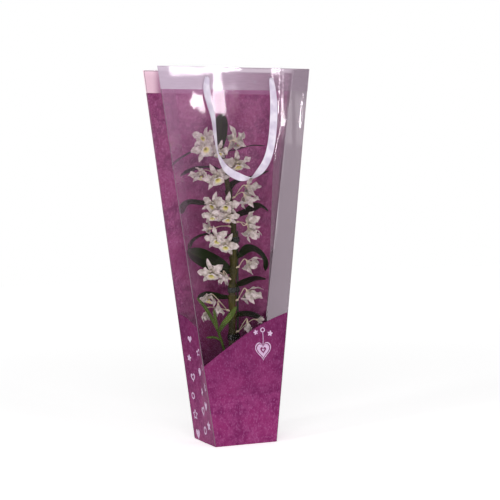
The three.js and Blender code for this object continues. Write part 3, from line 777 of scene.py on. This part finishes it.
# %% Outlines
OUTLINE_POINTS = 60
TURNS = [2 * math.pi * i / OUTLINE_POINTS for i in range(OUTLINE_POINTS)]


def round_outline(reach):
    """A closed outline from reach(turn), the distance from the middle at each turn."""
    return [(reach(t) * math.sin(t), reach(t) * math.cos(t)) for t in TURNS]


HEART = [(0.86 * math.sin(t) ** 3 + 0.05 * math.sin(t),
          (13 * math.cos(t) - 5 * math.cos(2 * t) - 2 * math.cos(3 * t) - math.cos(4 * t)) / 15)
         for t in TURNS]
STAR = round_outline(lambda t: 1 - 0.5 * (1 - abs(1 - (t * 5 / math.pi) % 2)))
RING = round_outline(lambda t: 1)
print("outlines: a heart, a star and a ring of", OUTLINE_POINTS, "points each")


# %% Bands and threads of ink
INK_LIFT = 0.35


def band(outline, inner, outer, size, spot, place, turn=0.0):
    """A band between two sizes of an outline. place puts a flat point on the film."""
    steps = [inner, (inner + outer) / 2, outer]

    def on_film(u, v):
        point = Vector(outline[round(u * OUTLINE_POINTS) % OUTLINE_POINTS]) * steps[round(v * 2)] * size
        return place(*(Vector(spot) + Matrix.Rotation(turn, 2) @ point))

    return merged(sheet_of(OUTLINE_POINTS, 2, on_film))


def thread(spots, width, place):
    """A printed line through flat points."""
    path = smooth_path([(x, 0, z) for x, z in spots])

    def on_film(u, v):
        ahead = direction(path, v)
        middle = path(v) + Vector((ahead.z, 0, -ahead.x)) * (u - 0.5) * width
        return place(middle.x, middle.z)

    return sheet_of(1, 40, on_film)


def on_front(x, z):
    return front_spot(x, z, INK_LIFT)


def on_left(across, z):
    """A point just outside the left film. across runs from the back fold to the front one."""
    share = 0.5 - across / FOOT_DEPTH
    outward = Vector((-half_depth(z), fold_in(z) * (1 if share < 0.5 else -1), 0)).normalized()
    return side_spot(-1, share, z) + outward * INK_LIFT * MM


# %% Ornaments
def ornament_finish():
    ink = Finish("pale ink")
    shade = ink.blend(ink.noise(420, 2).step(0.4, 0.7), paint(196, 160, 196), paint(222, 196, 222))
    return ink.done(Base_Color=shade, Roughness=0.45, Specular_IOR_Level=0.25)


def hanging_heart():
    """A heart with a small one in it, on a thread from a ring, between two small stars."""
    x, z = 42, 186
    top = z + 40
    return [band(HEART, 0.88, 1, 19, (x, z), on_front), band(HEART, 0.36, 0.76, 19, (x, z), on_front),
            band(HEART, 0, 1, 3, (x, z), on_front), band(RING, 0.6, 1, 5, (x, top), on_front),
            thread([(x, z + 11), (x + 0.6, z + 24), (x, top - 5)], 1.4, on_front),
            band(STAR, 0, 1, 5.4, (x - 15, top - 4), on_front, turn=0.3),
            band(STAR, 0, 1, 6.2, (x + 16, top - 8), on_front, turn=-0.2)]


def scattered():
    """Small motifs in three staggered rows up the left side, as far as its print reaches."""
    dice = random.Random(11)
    motifs = [(HEART, 0, 1, 7.4), (STAR, 0.56, 1, 8), (RING, 0.6, 1, 5.4), (HEART, 0.55, 1, 7.6),
              (STAR, 0, 1, 7)]
    parts = []
    for i in range(18):
        z = 13 + 13 * i
        across = (-34, 4, 36)[i % 3] + dice.uniform(-7, 7)
        outline, inner, outer, size = motifs[(2 * i) % 5]
        size *= mix(1.6, 0.85, z / 240)
        under_edge = left_edge(0, -across / (FOOT_DEPTH / 2) * half_depth(z)) - z
        if under_edge > size + 3:
            turn = dice.uniform(-0.4, 0.4)
            parts.append(band(outline, inner, outer, size, (across, z), on_left, turn))
    return parts


ornaments = joined(hanging_heart() + scattered())
piece(coloured(ornaments, ornament_finish()), "printed_ornaments")

# %% Printed back and base
BACK_THICKNESS = 0.3


def back_place(u, v):
    z = BAG_HEIGHT * v
    x = (2 * u - 1) * (half_width(z) + 2 * v)
    sway = 1.2 * math.sin(z / 95 + x / 60) * math.sin(math.pi * v) * (1 - (2 * u - 1) ** 2)
    return mm(x, half_depth(z) + sway, z)


back = thicken(sheet_of(40, 100, back_place), BACK_THICKNESS * MM)
piece(coloured(back, PRINT), "bag_printed_back", ["bag_back_panel"])
coloured(frame["nodes"]["bag_base"], PRINT)

# %% [markdown]
# ## Pot, bark and stake
# The cane grows in an ordinary black nursery pot of coarse bark. The pot is turned: its rings are stacked
# up the outside, over the rim and down the inside. The bark is one chip, copied a few hundred times over a
# plain core, each copy turned and squashed its own way.

# %% Dark finishes
def pot_finish():
    pot = Finish("black moulded plastic")
    grain = pot.noise(240, 3)
    shade = pot.blend(pot.noise(14, 4).step(0.5, 0.8) * 0.3, paint(27, 27, 28), paint(84, 76, 68))
    return pot.done(Base_Color=shade, Roughness=grain * 0.15 + 0.4, Normal=pot.bump(grain, 0.15, 0.0004))


def clip_finish():
    clip = Finish("dark glossy clip")
    streak = clip.noise(300, 2)
    shade = clip.blend(streak.step(0.4, 0.8), paint(20, 26, 20), paint(44, 56, 42))
    return clip.done(Base_Color=shade, Roughness=streak * 0.1 + 0.18, Normal=clip.bump(streak, 0.1, 0.0003))


def stake_finish():
    stake = Finish("dark green stake")
    ribs = (stake.place(2) * 1500).sine()
    shade = stake.blend(stake.noise(90, 3), paint(26, 37, 22), paint(52, 66, 38))
    return stake.done(Base_Color=shade, Roughness=0.45, Normal=stake.bump(ribs, 0.25, 0.0004))


def bark_finish():
    bark = Finish("pine bark")
    grain = bark.noise(260, 4, bark.stretched(1, 0.35, 2))
    dark = bark.blend(grain.step(0.35, 0.7), paint(52, 33, 22), paint(121, 80, 51))
    shade = bark.blend(bark.noise(45, 2).step(0.55, 0.75) * 0.5, dark, paint(158, 116, 82))
    return bark.done(Base_Color=shade, Roughness=0.92, Normal=bark.bump(grain, 0.8, 0.001))


POT_BLACK, CLIP_DARK, STAKE_GREEN, BARK = pot_finish(), clip_finish(), stake_finish(), bark_finish()

# %% Pot
# Each point is a radius and a height.
POT_OUTLINE = [
    (36.5, 1.1), (38, 1.6), (38.4, 4), (44.6, 50), (50.6, 91.5), (51, 92.2), (53.6, 92.6), (54, 93.2),
    (54, 99.6), (53.4, 101.1), (52.6, 101.1), (52, 100.4), (51.4, 93), (49.2, 91.4), (43, 50), (37, 5),
    (35.5, 2.8),
]


def turned(outline, sides):
    """A round upright piece from its outline of (radius, height)."""
    return stacked([(Vector((0, 0, height)), radius) for radius, height in outline], sides)


pot = coloured(turned(POT_OUTLINE, 72), POT_BLACK)
piece(pot, "nursery_pot_turned", ["nursery_pot"], angle=35)

# %% Bark
BARK_TOP, BARK_RADIUS = 83, 46
BARK_CORE = [(36, 4), (44.5, 70), (45.5, BARK_TOP - 3), (30, BARK_TOP), (12, BARK_TOP)]
CHIPS, GOLDEN_TURN = 230, 2.39996

pick()
bpy.ops.mesh.primitive_ico_sphere_add(subdivisions=1, radius=1)
CHIP_BLANK = bpy.context.object
CHIP_BLANK.name, CHIP_BLANK.hide_render = "chip_blank", True


def chip(place, size, dice):
    """One chip of bark: a few-sided lump, squashed and turned."""
    squash = Vector((dice.uniform(0.8, 1.5), dice.uniform(0.5, 0.9), dice.uniform(0.25, 0.5)))
    turn = Euler((dice.uniform(-0.6, 0.6), dice.uniform(-0.6, 0.6), dice.uniform(0, 6.28)))
    lump = copied(CHIP_BLANK)
    lump.data.transform(Matrix.LocRotScale(place, turn, squash * size * MM))
    return lump


def bark_heap():
    dice = random.Random(5)
    chips = [turned(BARK_CORE, 40)]
    for i in range(CHIPS):
        reach = BARK_RADIUS * math.sqrt((i + 0.5) / CHIPS) * 0.94
        turn = i * GOLDEN_TURN
        place = mm(reach * math.cos(turn), reach * math.sin(turn), BARK_TOP + dice.uniform(-1.0, 2.6))
        chips.append(chip(place, dice.uniform(3.4, 6.2), dice))
    return joined(chips)


piece(coloured(bark_heap(), BARK), "bark_chips", ["bark_medium"], angle=25)

# %% Stake and clips
def stake_rod():
    foot, tip = Vector((9, 5, 30)), Vector((17, 6, 425))
    shares = [0, *[i / 40 * 0.985 for i in range(1, 41)], 0.993, 1.0]
    radii = [2.2] * 41 + [1.7, 0.6]
    return tube([foot.lerp(tip, s) * MM for s in shares], [r * MM for r in radii], 16)


piece(coloured(stake_rod(), STAKE_GREEN), "stake_rod", ["stake"])
for name in ("clip_01", "clip_02", "clip_03"):
    coloured(frame["nodes"][name], CLIP_DARK)

# %% [markdown]
# ## The cane
# A dendrobium's cane is a row of joints. Each joint ends in a node, where the cane is a little thicker and
# a dark ring is left by the leaf's sheath, and dry papery sheaths still cling to the lower joints. The cane
# is stacked from rings along its bent axis, so its swellings come from one function of the height. How near
# each point is to a node is stored for the ring's colour, and where a sheath clings for its grey.

# %% Cane and shoot finishes
def cane_finish():
    cane = Finish("olive cane")
    fibre = cane.noise(210, 3, cane.stretched(1, 1, 0.06))
    patch = cane.noise(26, 3, cane.stretched(1, 1, 0.5))
    green = cane.blend(fibre, paint(30, 30, 8), paint(58, 58, 18))
    ripe = cane.blend(patch.step(0.45, 0.68) * 0.6, green, paint(92, 86, 30))
    papery = cane.blend(fibre, paint(60, 54, 42), paint(104, 94, 80))
    sheathed = cane.blend(cane.marked("sheath"), ripe, papery)
    ring = cane.marked("node").step(0.72, 0.95) * 0.75
    return cane.done(Base_Color=cane.blend(ring, sheathed, paint(52, 48, 28)), Specular_IOR_Level=0.2,
                     Roughness=cane.marked("sheath") * 0.35 + 0.38, Normal=cane.bump(fibre, 0.4, 0.0006))


CANE_GREEN = cane_finish()

# %% Cane
# The axis is a row of points. The others are heights: of each node, and of each sheath's foot and top.
CANE_AXIS = [(-2, 0, 30), (-2, 0, 194), (-1, 0, 250), (1, 0, 310), (5, 0, 370), (6, 0, 435), (0, 0, 486),
             (-5, 0, 520), (-13, 0, 560), (-18, 0, 594)]
CANE_NODES = [110, 150, 184, 217, 253, 291, 316, 345, 370, 415, 452, 481, 504, 544, 575]
SHEATHS = [(120, 148), (156, 183), (196, 214), (296, 314)]
CANE_FOOT, CANE_TIP = 30, 594
cane_path = smooth_path(CANE_AXIS)


def cane_middle(z):
    """The middle of the cane at a height, found by halving."""
    low, high = 0.0, 1.0
    for _ in range(24):
        middle = (low + high) / 2
        low, high = (middle, high) if cane_path(middle).z < z else (low, middle)
    return cane_path(low)


def node_nearness(z):
    return max(0, 1 - min(abs(node - z) for node in CANE_NODES) / 7)


def cane_radius(z):
    plain = mix(7.8, 4.6, ((z - CANE_FOOT) / (CANE_TIP - CANE_FOOT)) ** 1.6)
    near = node_nearness(z)
    return plain * (1 + 0.18 * ease(0, 1, near) - 0.05 * max(0, near * 4 - 3))


def sheath_at(z):
    return max(ease(low, low + 3, z) * (1 - ease(high - 3, high, z)) for low, high in SHEATHS)


near_nodes = [node + step for node in CANE_NODES for step in (-3, -1, 0, 1, 3)]
levels = sorted({*range(CANE_FOOT, CANE_TIP, 4), CANE_TIP, *near_nodes})
rod = coloured(stacked([(cane_middle(z), cane_radius(z)) for z in levels], 24), CANE_GREEN)
store(rod, "node", lambda x, y, z: node_nearness(z))
store(rod, "sheath", lambda x, y, z: sheath_at(z))
piece(rod, "cane_rod", ["cane"], angle=50)

# %% [markdown]
# ## Leaves
# One flat leaf is modelled: a grid, whose rows are drawn in to the leaf's outline one by one and
# whose edges are raised into a shallow channel. Each real leaf is a copy of it, laid along its own line.
# A Curve modifier would choose by itself which way the leaf faces, so we lay the copy in code, with the
# side that its upper face looks to.

# %% Flat blades
LEAF_OUTLINE = [(0, 0.28), (0.1, 0.44), (0.24, 0.74), (0.4, 0.94), (0.58, 1), (0.74, 0.96), (0.87, 0.78),
                (0.96, 0.46), (1, 0.05)]


def width_at(outline, along):
    for (a, low), (b, high) in zip(outline, outline[1:]):
        if along <= b:
            return mix(low, high, (along - a) / (b - a))
    return outline[-1][1]


BLADE_COLUMNS = 8


def flat_blade(name, outline, rise, rows=18):
    """A blade 1 long and 2 wide at most, from a grid drawn in row by row. rise lifts its edges."""
    pick()
    bpy.ops.mesh.primitive_grid_add(x_subdivisions=BLADE_COLUMNS, y_subdivisions=rows, size=1)
    blade = bpy.context.object
    blade.scale, blade.location, blade.name = (2, 1, 1), (0, 0.5, 0), name
    bpy.ops.object.transform_apply(location=True, scale=True)
    bpy.ops.object.mode_set(mode="EDIT")
    points = bmesh.from_edit_mesh(blade.data)

    def select(chosen):
        for point in points.verts:
            point.select_set(chosen(point.co))
        points.select_flush(True)
        bmesh.update_edit_mesh(blade.data)

    for column in range(BLADE_COLUMNS + 1):
        x = 2 * column / BLADE_COLUMNS - 1
        select(lambda spot: abs(spot.x - x) < 0.01)
        bpy.ops.transform.translate(value=(0, 0, rise * abs(x) ** 1.3))
    for row in range(rows + 1):
        y = row / rows
        share = width_at(outline, y)
        select(lambda spot: abs(spot.y - y) < 0.001)
        bpy.ops.transform.resize(value=(share, 1, share), center_override=(0, y, 0))
    bpy.ops.object.mode_set(mode="OBJECT")
    blade.hide_render = True
    return blade


# %% Laying a blade along a line
def laid(blank, path, face, half, wave, phase, ragged=0.0, pleat=0.0):
    """A copy of a flat blade, laid along a path, wavy, ragged or pleated. half is its half width."""
    blade = copied(blank)
    face = Vector(face).normalized()
    for vertex in blade.data.vertices:
        across, along, up = vertex.co
        ahead = direction(path, along, 0.01)
        side = ahead.cross(face).normalized()
        normal = side.cross(ahead).normalized()
        turn = phase + (2 if across > 0 else 0)
        flutter = wave * abs(across) * (math.sin(11 * along + turn) + 0.5 * math.sin(24 * along - 2 * turn))
        tear = math.sin(19 * along + 3 * turn) + 0.7 * math.sin(33 * along - turn)
        reach = across * (1 + ragged * across ** 4 * tear)
        fold = pleat * math.cos(4 * math.pi * across) * (1 - along)
        vertex.co = path(along) + side * reach * half + normal * (up + flutter + fold) * half
    return blade


LEAF_BLANK = flat_blade("leaf_blank", LEAF_OUTLINE, 0.16)
print("leaf blank:", len(LEAF_BLANK.data.vertices), "points")

# %% Leaf finishes
def blade_finish(name, deep, fresh, rib, gloss):
    """A leaf's waxy skin: veins that run along the blade, a paler midrib, and slow changes of green."""
    leaf = Finish(name)
    veins = (leaf.along(0) * 150).sine()
    mottle = leaf.noise(38, 3)
    green = leaf.blend(mottle.step(0.3, 0.75), deep, fresh)
    lined = leaf.blend(veins.step(0.2, 1.0) * 0.22, green, rib)
    midrib = 1 - abs(leaf.along(0) - 0.5).step(0.008, 0.03)
    return leaf.done(Base_Color=leaf.blend(midrib * 0.6, lined, rib), Roughness=mottle * 0.16 + gloss,
                     Specular_IOR_Level=0.14, Normal=leaf.bump(veins * 0.4 + mottle - midrib, 0.3, 0.0005))


LEAF_GREEN = blade_finish("dark waxy leaf", paint(11, 20, 2), paint(25, 42, 5), paint(50, 72, 18), 0.26)
SHOOT_GREEN = blade_finish("fresh shoot", paint(48, 68, 22), paint(80, 102, 38), paint(118, 132, 66), 0.3)

# %% Leaves
BLADE_THICKNESS = 0.7

# Each leaf has its root's height on the cane, its width, where its upper face looks, and its line.
LEAVES = [
    (588, 28, (-0.35, -1, 0), [(-15, 7, 612), (-12, 9, 640), (-11, 7, 662)]),
    (582, 19, (0, -0.2, 1), [(-40, 12, 598), (-70, 18, 586), (-92, 25, 574), (-112, 31, 559)]),
    (572, 19, (0, 0, 1), [(-2, 9, 584), (24, 15, 589), (54, 17, 597), (87, 18, 597)]),
    (542, 21, (0, -0.3, 1), [(-29, 7, 552), (-57, 14, 553), (-78, 18, 547), (-98, 20, 537)]),
    (503, 21, (0, -0.2, 1), [(8, 7, 518), (28, 14, 527), (54, 16, 531), (94, 16, 546)]),
    (480, 17, (-0.2, -0.7, 1), [(-26, 9, 482), (-54, 15, 482), (-82, 21, 484), (-94, 22, 474),
                                (-96, 22, 461)]),
    (451, 23, (0, -0.5, 1), [(22, 8, 457), (45, 13, 463), (70, 16, 475), (91, 16, 463)]),
    (414, 20, (0, -0.16, 1), [(-12, 11, 417), (-34, 19, 419), (-58, 24, 415), (-74, 27, 404),
                              (-81, 29, 386)]),
    (343, 40, (-0.25, -0.9, 0.5), [(-22, 3, 352), (-54, 8, 369), (-88, 18, 387)]),
    (367, 21, (0.25, -0.7, 0.7), [(18, -6, 376), (32, 3, 385), (50, 12, 388), (70, 16, 378), (82, 18, 360),
                                  (82, 18, 340)]),
    (313, 21, (0, -0.4, 1), [(15, -5, 315), (32, 4, 320), (60, 14, 325), (84, 19, 323)]),
    (290, 20, (0, -0.8, 1), [(-18, 3, 291), (-36, 8, 294), (-53, 12, 296), (-70, 14, 290)]),
    (252, 20, (0, -0.8, 1), [(16, -5, 255), (30, 3, 254), (58, 13, 248), (76, 18, 240)]),
]

for i, (root, width, face, spots) in enumerate(LEAVES, 1):
    path = smooth_path([cane_middle(root) * MM] + [mm(*spot) for spot in spots])
    blade = laid(LEAF_BLANK, path, face, width / 2 * MM, wave=0.05, phase=i)
    thicken(blade, BLADE_THICKNESS * MM, smooth=True)
    piece(coloured(blade, LEAF_GREEN), f"leaf_blade_{i:02d}", [f"leaf_{i:02d}"], angle=70)

# %% Sheaths at the leaf roots
def leaf_sheath(root):
    """The leaf's base clasps the cane in a short cup that opens upwards."""
    steps = [(-15, 0.4), (-11, 0.8), (-5, 1.2), (0, 1.8), (4, 2.6), (5, 2.2)]
    spots = [cane_middle(root + step) * MM for step, _ in steps]
    return tube(spots, [(cane_radius(root + step) + out) * MM for step, out in steps], 16)


sheaths = joined([leaf_sheath(root) for root, *_ in LEAVES[1:]])
piece(coloured(sheaths, CANE_GREEN), "leaf_sheaths", angle=50)

# %% Young shoot
SHOOT_STEM = [(-12, -17, 30), (-14, -17, 110), (-25, -16, 182), (-35, -16, 216), (-39, -17, 228)]

# Each blade has its width and its line.
SHOOT_BLADES = [
    (7, [(-36, -16, 218), (-50, -24, 243), (-66, -32, 268), (-77, -33, 283), (-88, -32, 295)]),
    (6, [(-37, -16, 221), (-46, -25, 246), (-52, -31, 272)]),
    (11, [(-37, -15, 219), (-32, -25, 236), (-19, -33, 254), (-4, -34, 274)]),
    (5, [(-31, -16, 204), (-44, -15, 212), (-63, -13, 213)]),
]
SHOOT_BLANK = flat_blade("shoot_blank", LEAF_OUTLINE, 0.34)


def young_shoot():
    stem = smooth_path([mm(*spot) for spot in SHOOT_STEM])
    radii = [(3.2 - 0.9 * i / 40 + 0.25 * abs(math.sin(i / 4))) * MM for i in range(41)]
    parts = [tube([stem(i / 40) for i in range(41)], radii, 16)]
    for i, (width, spots) in enumerate(SHOOT_BLADES):
        path = smooth_path([mm(*spot) for spot in spots])
        blade = laid(SHOOT_BLANK, path, (-0.3, -1, 0.2), width / 2 * MM, wave=0.04, phase=2 * i)
        parts.append(thicken(blade, BLADE_THICKNESS * MM, smooth=True))
    return joined(parts)


shoot = coloured(young_shoot(), SHOOT_GREEN)
piece(shoot, "young_shoot_blades", ["young_shoot"], angle=60)

# %% [markdown]
# ## Flowers
# Each flower has three narrow sepals behind, two broader petals in front, and a lip: a frilled trumpet that
# leans down, yellow-green in its throat. Each of these is modelled once, flat or in its own axes, and copied
# to every flower, where it is laid at the flower's own opening angle: half-open flowers cup inwards, and open
# ones bend back. A bunch is one piece, with its stalks.

# %% Flower finishes
def petal_finish():
    petal = Finish("white petal")
    veins = (petal.along(0) * 38).sine()
    along = petal.along(1)
    cloud = petal.noise(120, 2)
    white = petal.blend(cloud.step(0.34, 0.64), paint(170, 162, 152), paint(220, 212, 206))
    veined = petal.blend(veins.step(0.1, 1.0) * 0.44, white, paint(136, 126, 108))
    creamy = petal.blend(along.step(0.42, 0.02) * 0.5, veined, paint(180, 178, 134))
    tipped = petal.blend(along.step(0.74, 1.0) * 0.4, creamy, paint(196, 156, 182))
    return petal.done(
        Base_Color=tipped, Roughness=0.52, Sheen_Weight=0.12, Subsurface_Weight=0.12,
        Subsurface_Radius=(1.0, 0.85, 0.8), Subsurface_Scale=0.0012,
        Normal=petal.bump(veins * 0.5 + cloud, 0.25, 0.0004))


def lip_finish():
    lip = Finish("lip")
    rim = lip.along(1)
    speck = lip.noise(260, 2)
    white = lip.blend(speck, paint(192, 186, 178), paint(222, 216, 209))
    yellow = lip.blend(rim.step(0.72, 0.3), white, paint(206, 200, 112))
    throat = lip.blend(rim.step(0.3, 0.08), yellow, paint(170, 164, 78))
    tipped = lip.blend(rim.step(0.88, 1.0) * 0.4, throat, paint(226, 192, 214))
    return lip.done(Base_Color=tipped, Roughness=0.5, Subsurface_Weight=0.1, Subsurface_Scale=0.0012,
                    Normal=lip.bump(speck, 0.3, 0.0004))


def stalk_finish():
    stalk = Finish("straw stalk")
    fibre = stalk.noise(300, 2, stalk.stretched(1, 1, 0.3))
    shade = stalk.blend(fibre, paint(192, 178, 146), paint(220, 206, 182))
    return stalk.done(Base_Color=shade, Roughness=0.5, Normal=stalk.bump(fibre, 0.2, 0.0003))


PETAL_WHITE, LIP, STALK = petal_finish(), lip_finish(), stalk_finish()

# %% Petal blanks
# The first two are millimetres, and the next line's are degrees: a flower that opens less than CLOSED shows
# no lip, and one that opens less than OPEN cups inwards.
FLOWER_RADIUS, PETAL_THICKNESS = 30, 0.5
CLOSED, OPEN, BENT_BACK, CUPPED = 35, 63, 34, -26

# A shape's length, half width and lift are shares of a flower's radius. Its rise, wave, raggedness and pleat
# are shares of its own half width.
PETAL_PLEAT = 0.13
SEPAL = dict(outline=[(0, 0.42), (0.1, 0.5), (0.4, 1), (0.7, 0.74), (0.9, 0.3), (1, 0.02)], half=0.185,
             length=0.98, lift=-0.05, rise=-0.2, wave=0.32, ragged=0.2)
PETAL = dict(outline=[(0, 0.26), (0.1, 0.38), (0.44, 1), (0.72, 0.8), (0.9, 0.36), (1, 0.02)], half=0.28,
             length=0.95, lift=0.06, rise=0.16, wave=0.5, ragged=0.36)
for shape in (SEPAL, PETAL):
    shape["blank"] = flat_blade("petal_blank", shape["outline"], shape["rise"], rows=11)
PERIANTH = [(90, SEPAL), (212, SEPAL), (328, SEPAL), (20, PETAL), (160, PETAL)]
print("petal blanks:", len(PETAL["blank"].data.vertices), "points each")


# %% Lip blank
def lip_blank():
    """The lip in its own axes: X across, Y up, Z out of the flower, with a flower's radius as 1."""
    def place(u, v):
        angle = 2 * math.pi * u
        below = max(0, -math.sin(angle))
        above = max(0, math.sin(angle))
        rim = ease(0.3, 1, v)
        torn = 1 + rim * (0.12 * math.sin(7 * angle + 1) + 0.1 * math.sin(12 * angle))
        reach = mix(0.05, 0.15, min(v / 0.5, 1)) + 0.23 * rim * torn
        reach *= (1 + 0.3 * below * rim) * (1 - 0.34 * rim * above)
        frill = rim * (0.06 * math.sin(11 * angle) + 0.05 * math.sin(5 * angle + 1))
        out = 0.2 + 0.24 * min(v / 0.62, 1) ** 0.8 + 0.04 * rim - rim * rim * (0.08 + 0.16 * below) + frill
        return Vector((reach * math.cos(angle), reach * math.sin(angle) * 0.95 - 0.06 * v, out))

    lip = thicken(merged(sheet_of(28, 9, place), 0.002), 0.025, smooth=True)
    coloured(lip, LIP).hide_render = True
    lip.name = "lip_blank"
    return lip


LIP_BLANK = lip_blank()


# %% A petal
def face_axes(azimuth, elevation, roll):
    """A flower's own axes: out of it, across it and up it."""
    a, e = math.radians(azimuth), math.radians(elevation)
    out = Vector((math.sin(a) * math.cos(e), -math.cos(a) * math.cos(e), math.sin(e)))
    across = Matrix.Rotation(math.radians(roll), 3, out) @ Vector((math.cos(a), math.sin(a), 0))
    return out, across, out.cross(across)


def petal_at(centre, axes, angle, shape, radius, opening, dice):
    """One sepal or petal, laid from the flower's middle outwards and bent on the way."""
    out, across, up = axes
    turn = math.radians(angle)
    radial = across * math.cos(turn) + up * math.sin(turn)
    curl = dice.uniform(-16, 16)
    bend = BENT_BACK if opening > OPEN else CUPPED
    spots = []
    for share in (0, 0.35, 0.7, 1):
        lean = math.radians(opening - 0.65 * bend + (bend + curl) * share)
        reach = share * shape["length"]
        spots.append(centre + radial * reach * radius * math.sin(lean)
                     + out * (reach * math.cos(lean) + shape["lift"]) * radius)
    face = out - radial * 0.6 + radial.cross(out) * dice.uniform(-0.3, 0.3)
    path = smooth_path([spot * MM for spot in spots])
    petal = laid(shape["blank"], path, face, shape["half"] * radius * MM, shape["wave"], dice.uniform(0, 6),
                 shape["ragged"], PETAL_PLEAT)
    return coloured(thicken(petal, PETAL_THICKNESS * MM, smooth=True), PETAL_WHITE)


# %% Lip, column and stalk
def lip_at(centre, axes, radius):
    out, across, up = axes
    axis = (out - up * 0.4).normalized()
    turn = Matrix((across, axis.cross(across), axis)).transposed().to_4x4()
    lip = copied(LIP_BLANK)
    lip.data.transform(Matrix.Translation(centre * MM) @ turn @ Matrix.Scale(radius * MM, 4))
    return lip


def column_at(centre, axes, radius):
    """The short white column over the throat."""
    out, _, up = axes
    steps = [(0, 0.02, 0.09), (0.12, 0.08, 0.08), (0.24, 0.1, 0.085), (0.29, 0.08, 0.03)]
    spots = [(centre + (out * ahead + up * high) * radius) * MM for ahead, high, _ in steps]
    return coloured(tube(spots, [radius * thick * MM for *_, thick in steps], 8), PETAL_WHITE)


def flower_stalk(fork, centre, axes):
    """A thin stalk from the fork of its bunch to the flower's back, where it swells."""
    back = centre - axes[0] * 9
    middle = fork.lerp(back, 0.55) + Vector((0, 0, 2))
    path = smooth_path([spot * MM for spot in (fork, middle, back, centre)])
    radii = [mix(0.8, 1.0, i / 20) * MM if i < 17 else mix(1.1, 3.0, (i - 16) / 4) * MM for i in range(21)]
    return coloured(tube([path(i / 20) for i in range(21)], radii, 8), STALK)


def flower(spot, fork, dice):
    x, y, z, azimuth, elevation, roll, size, opening = spot
    centre, axes, radius = Vector((x, y, z)), face_axes(azimuth, elevation, roll), FLOWER_RADIUS * size
    petals = [petal_at(centre, axes, angle, shape, radius, opening, dice) for angle, shape in PERIANTH]
    lips = [lip_at(centre, axes, radius), column_at(centre, axes, radius)] if opening > CLOSED else []
    return [*petals, *lips, flower_stalk(fork, centre, axes)]


# %% Bunches
# Each bunch has its root's height on the cane, and its flowers: the middle's X, Y and Z, where the flower
# looks (azimuth, elevation and roll, in degrees), its size, and how far it is open, in degrees.
BUNCHES = [
    (585, [(-61, -24, 591, -23, 4, 35, 1.04, 84), (-49, 6, 611, -46, 24, 2, 0.98, 74),
           (-32, -22, 586, 8, -20, -6, 0.86, 72)]),
    (577, [(8, -13, 607, 106, 4, -4, 1.08, 76)]),
    (562, [(8, -22, 563, -6, -30, 10, 1.06, 76)]),
    (530, [(-39, -27, 534, -16, -14, 26, 1.04, 78), (-60, -8, 542, -62, -44, -10, 1.04, 58)]),
    (490, [(32, -16, 514, 104, -16, 8, 1.0, 62), (25, -20, 495, 100, -52, -8, 1.1, 50)]),
    (465, [(-43, -20, 479, -40, -2, -12, 0.9, 78), (-20, -31, 477, -22, -2, -14, 0.98, 84),
           (-47, -24, 459, -40, -26, 14, 0.8, 66), (-19, -33, 455, -10, -26, -8, 0.86, 74)]),
    (432, [(-46, -2, 431, -150, 0, 20, 0.62, 64)]),
    (440, [(29, -21, 439, 84, 24, 10, 1.02, 54), (32, -20, 429, 84, -58, 30, 1.06, 46)]),
    (398, [(-39, -26, 411, -34, -10, 14, 0.94, 74), (-24, -33, 399, -10, -16, -26, 0.94, 76)]),
    (349, [(29, -18, 362, 84, -40, 24, 1.06, 56)]),
    (326, [(-49, -20, 345, -44, -20, 10, 1.04, 72), (-27, -26, 338, -14, -58, -14, 0.86, 32)]),
    (282, [(27, -18, 302, 78, -48, -8, 1.2, 60)]),
    (262, [(-51, -10, 294, -46, -34, -10, 0.9, 58), (-36, -14, 276, -22, -70, 6, 0.84, 25),
           (-58, -7, 264, -60, -66, 12, 0.7, 25)]),
    (218, [(25, -18, 238, 10, -76, 8, 0.66, 24), (52, -8, 242, 70, -10, -12, 0.5, 50)]),
]


def bunch(root, spots, dice):
    held = cane_middle(root)
    lean = sum((Vector((x - held.x, y - held.y, 0)) for x, y, *_ in spots), Vector()).normalized()
    fork = held + lean * (cane_radius(root) + 5)
    fork.z = root + 3
    stub = tube([(held + lean * 3) * MM, held.lerp(fork, 0.7) * MM, fork * MM, (fork + lean * 1.5) * MM],
                [2.2 * MM, 1.9 * MM, 2.5 * MM, 1.0 * MM], 8)
    parts = [coloured(stub, STALK)]
    for spot in spots:
        parts += flower(spot, fork, dice)
    return joined(parts)


for i, (root, spots) in enumerate(BUNCHES, 1):
    flowers = bunch(root, spots, random.Random(i))
    piece(flowers, f"bunch_{i:02d}", [f"flowers_{i:02d}"], angle=60)

# %% Put the blanks away
blanks = [thing for thing in bpy.data.objects if thing.name.split(".")[0].endswith("_blank")]
for blank in blanks:
    bpy.data.objects.remove(blank)
print("blanks put away:", len(blanks))
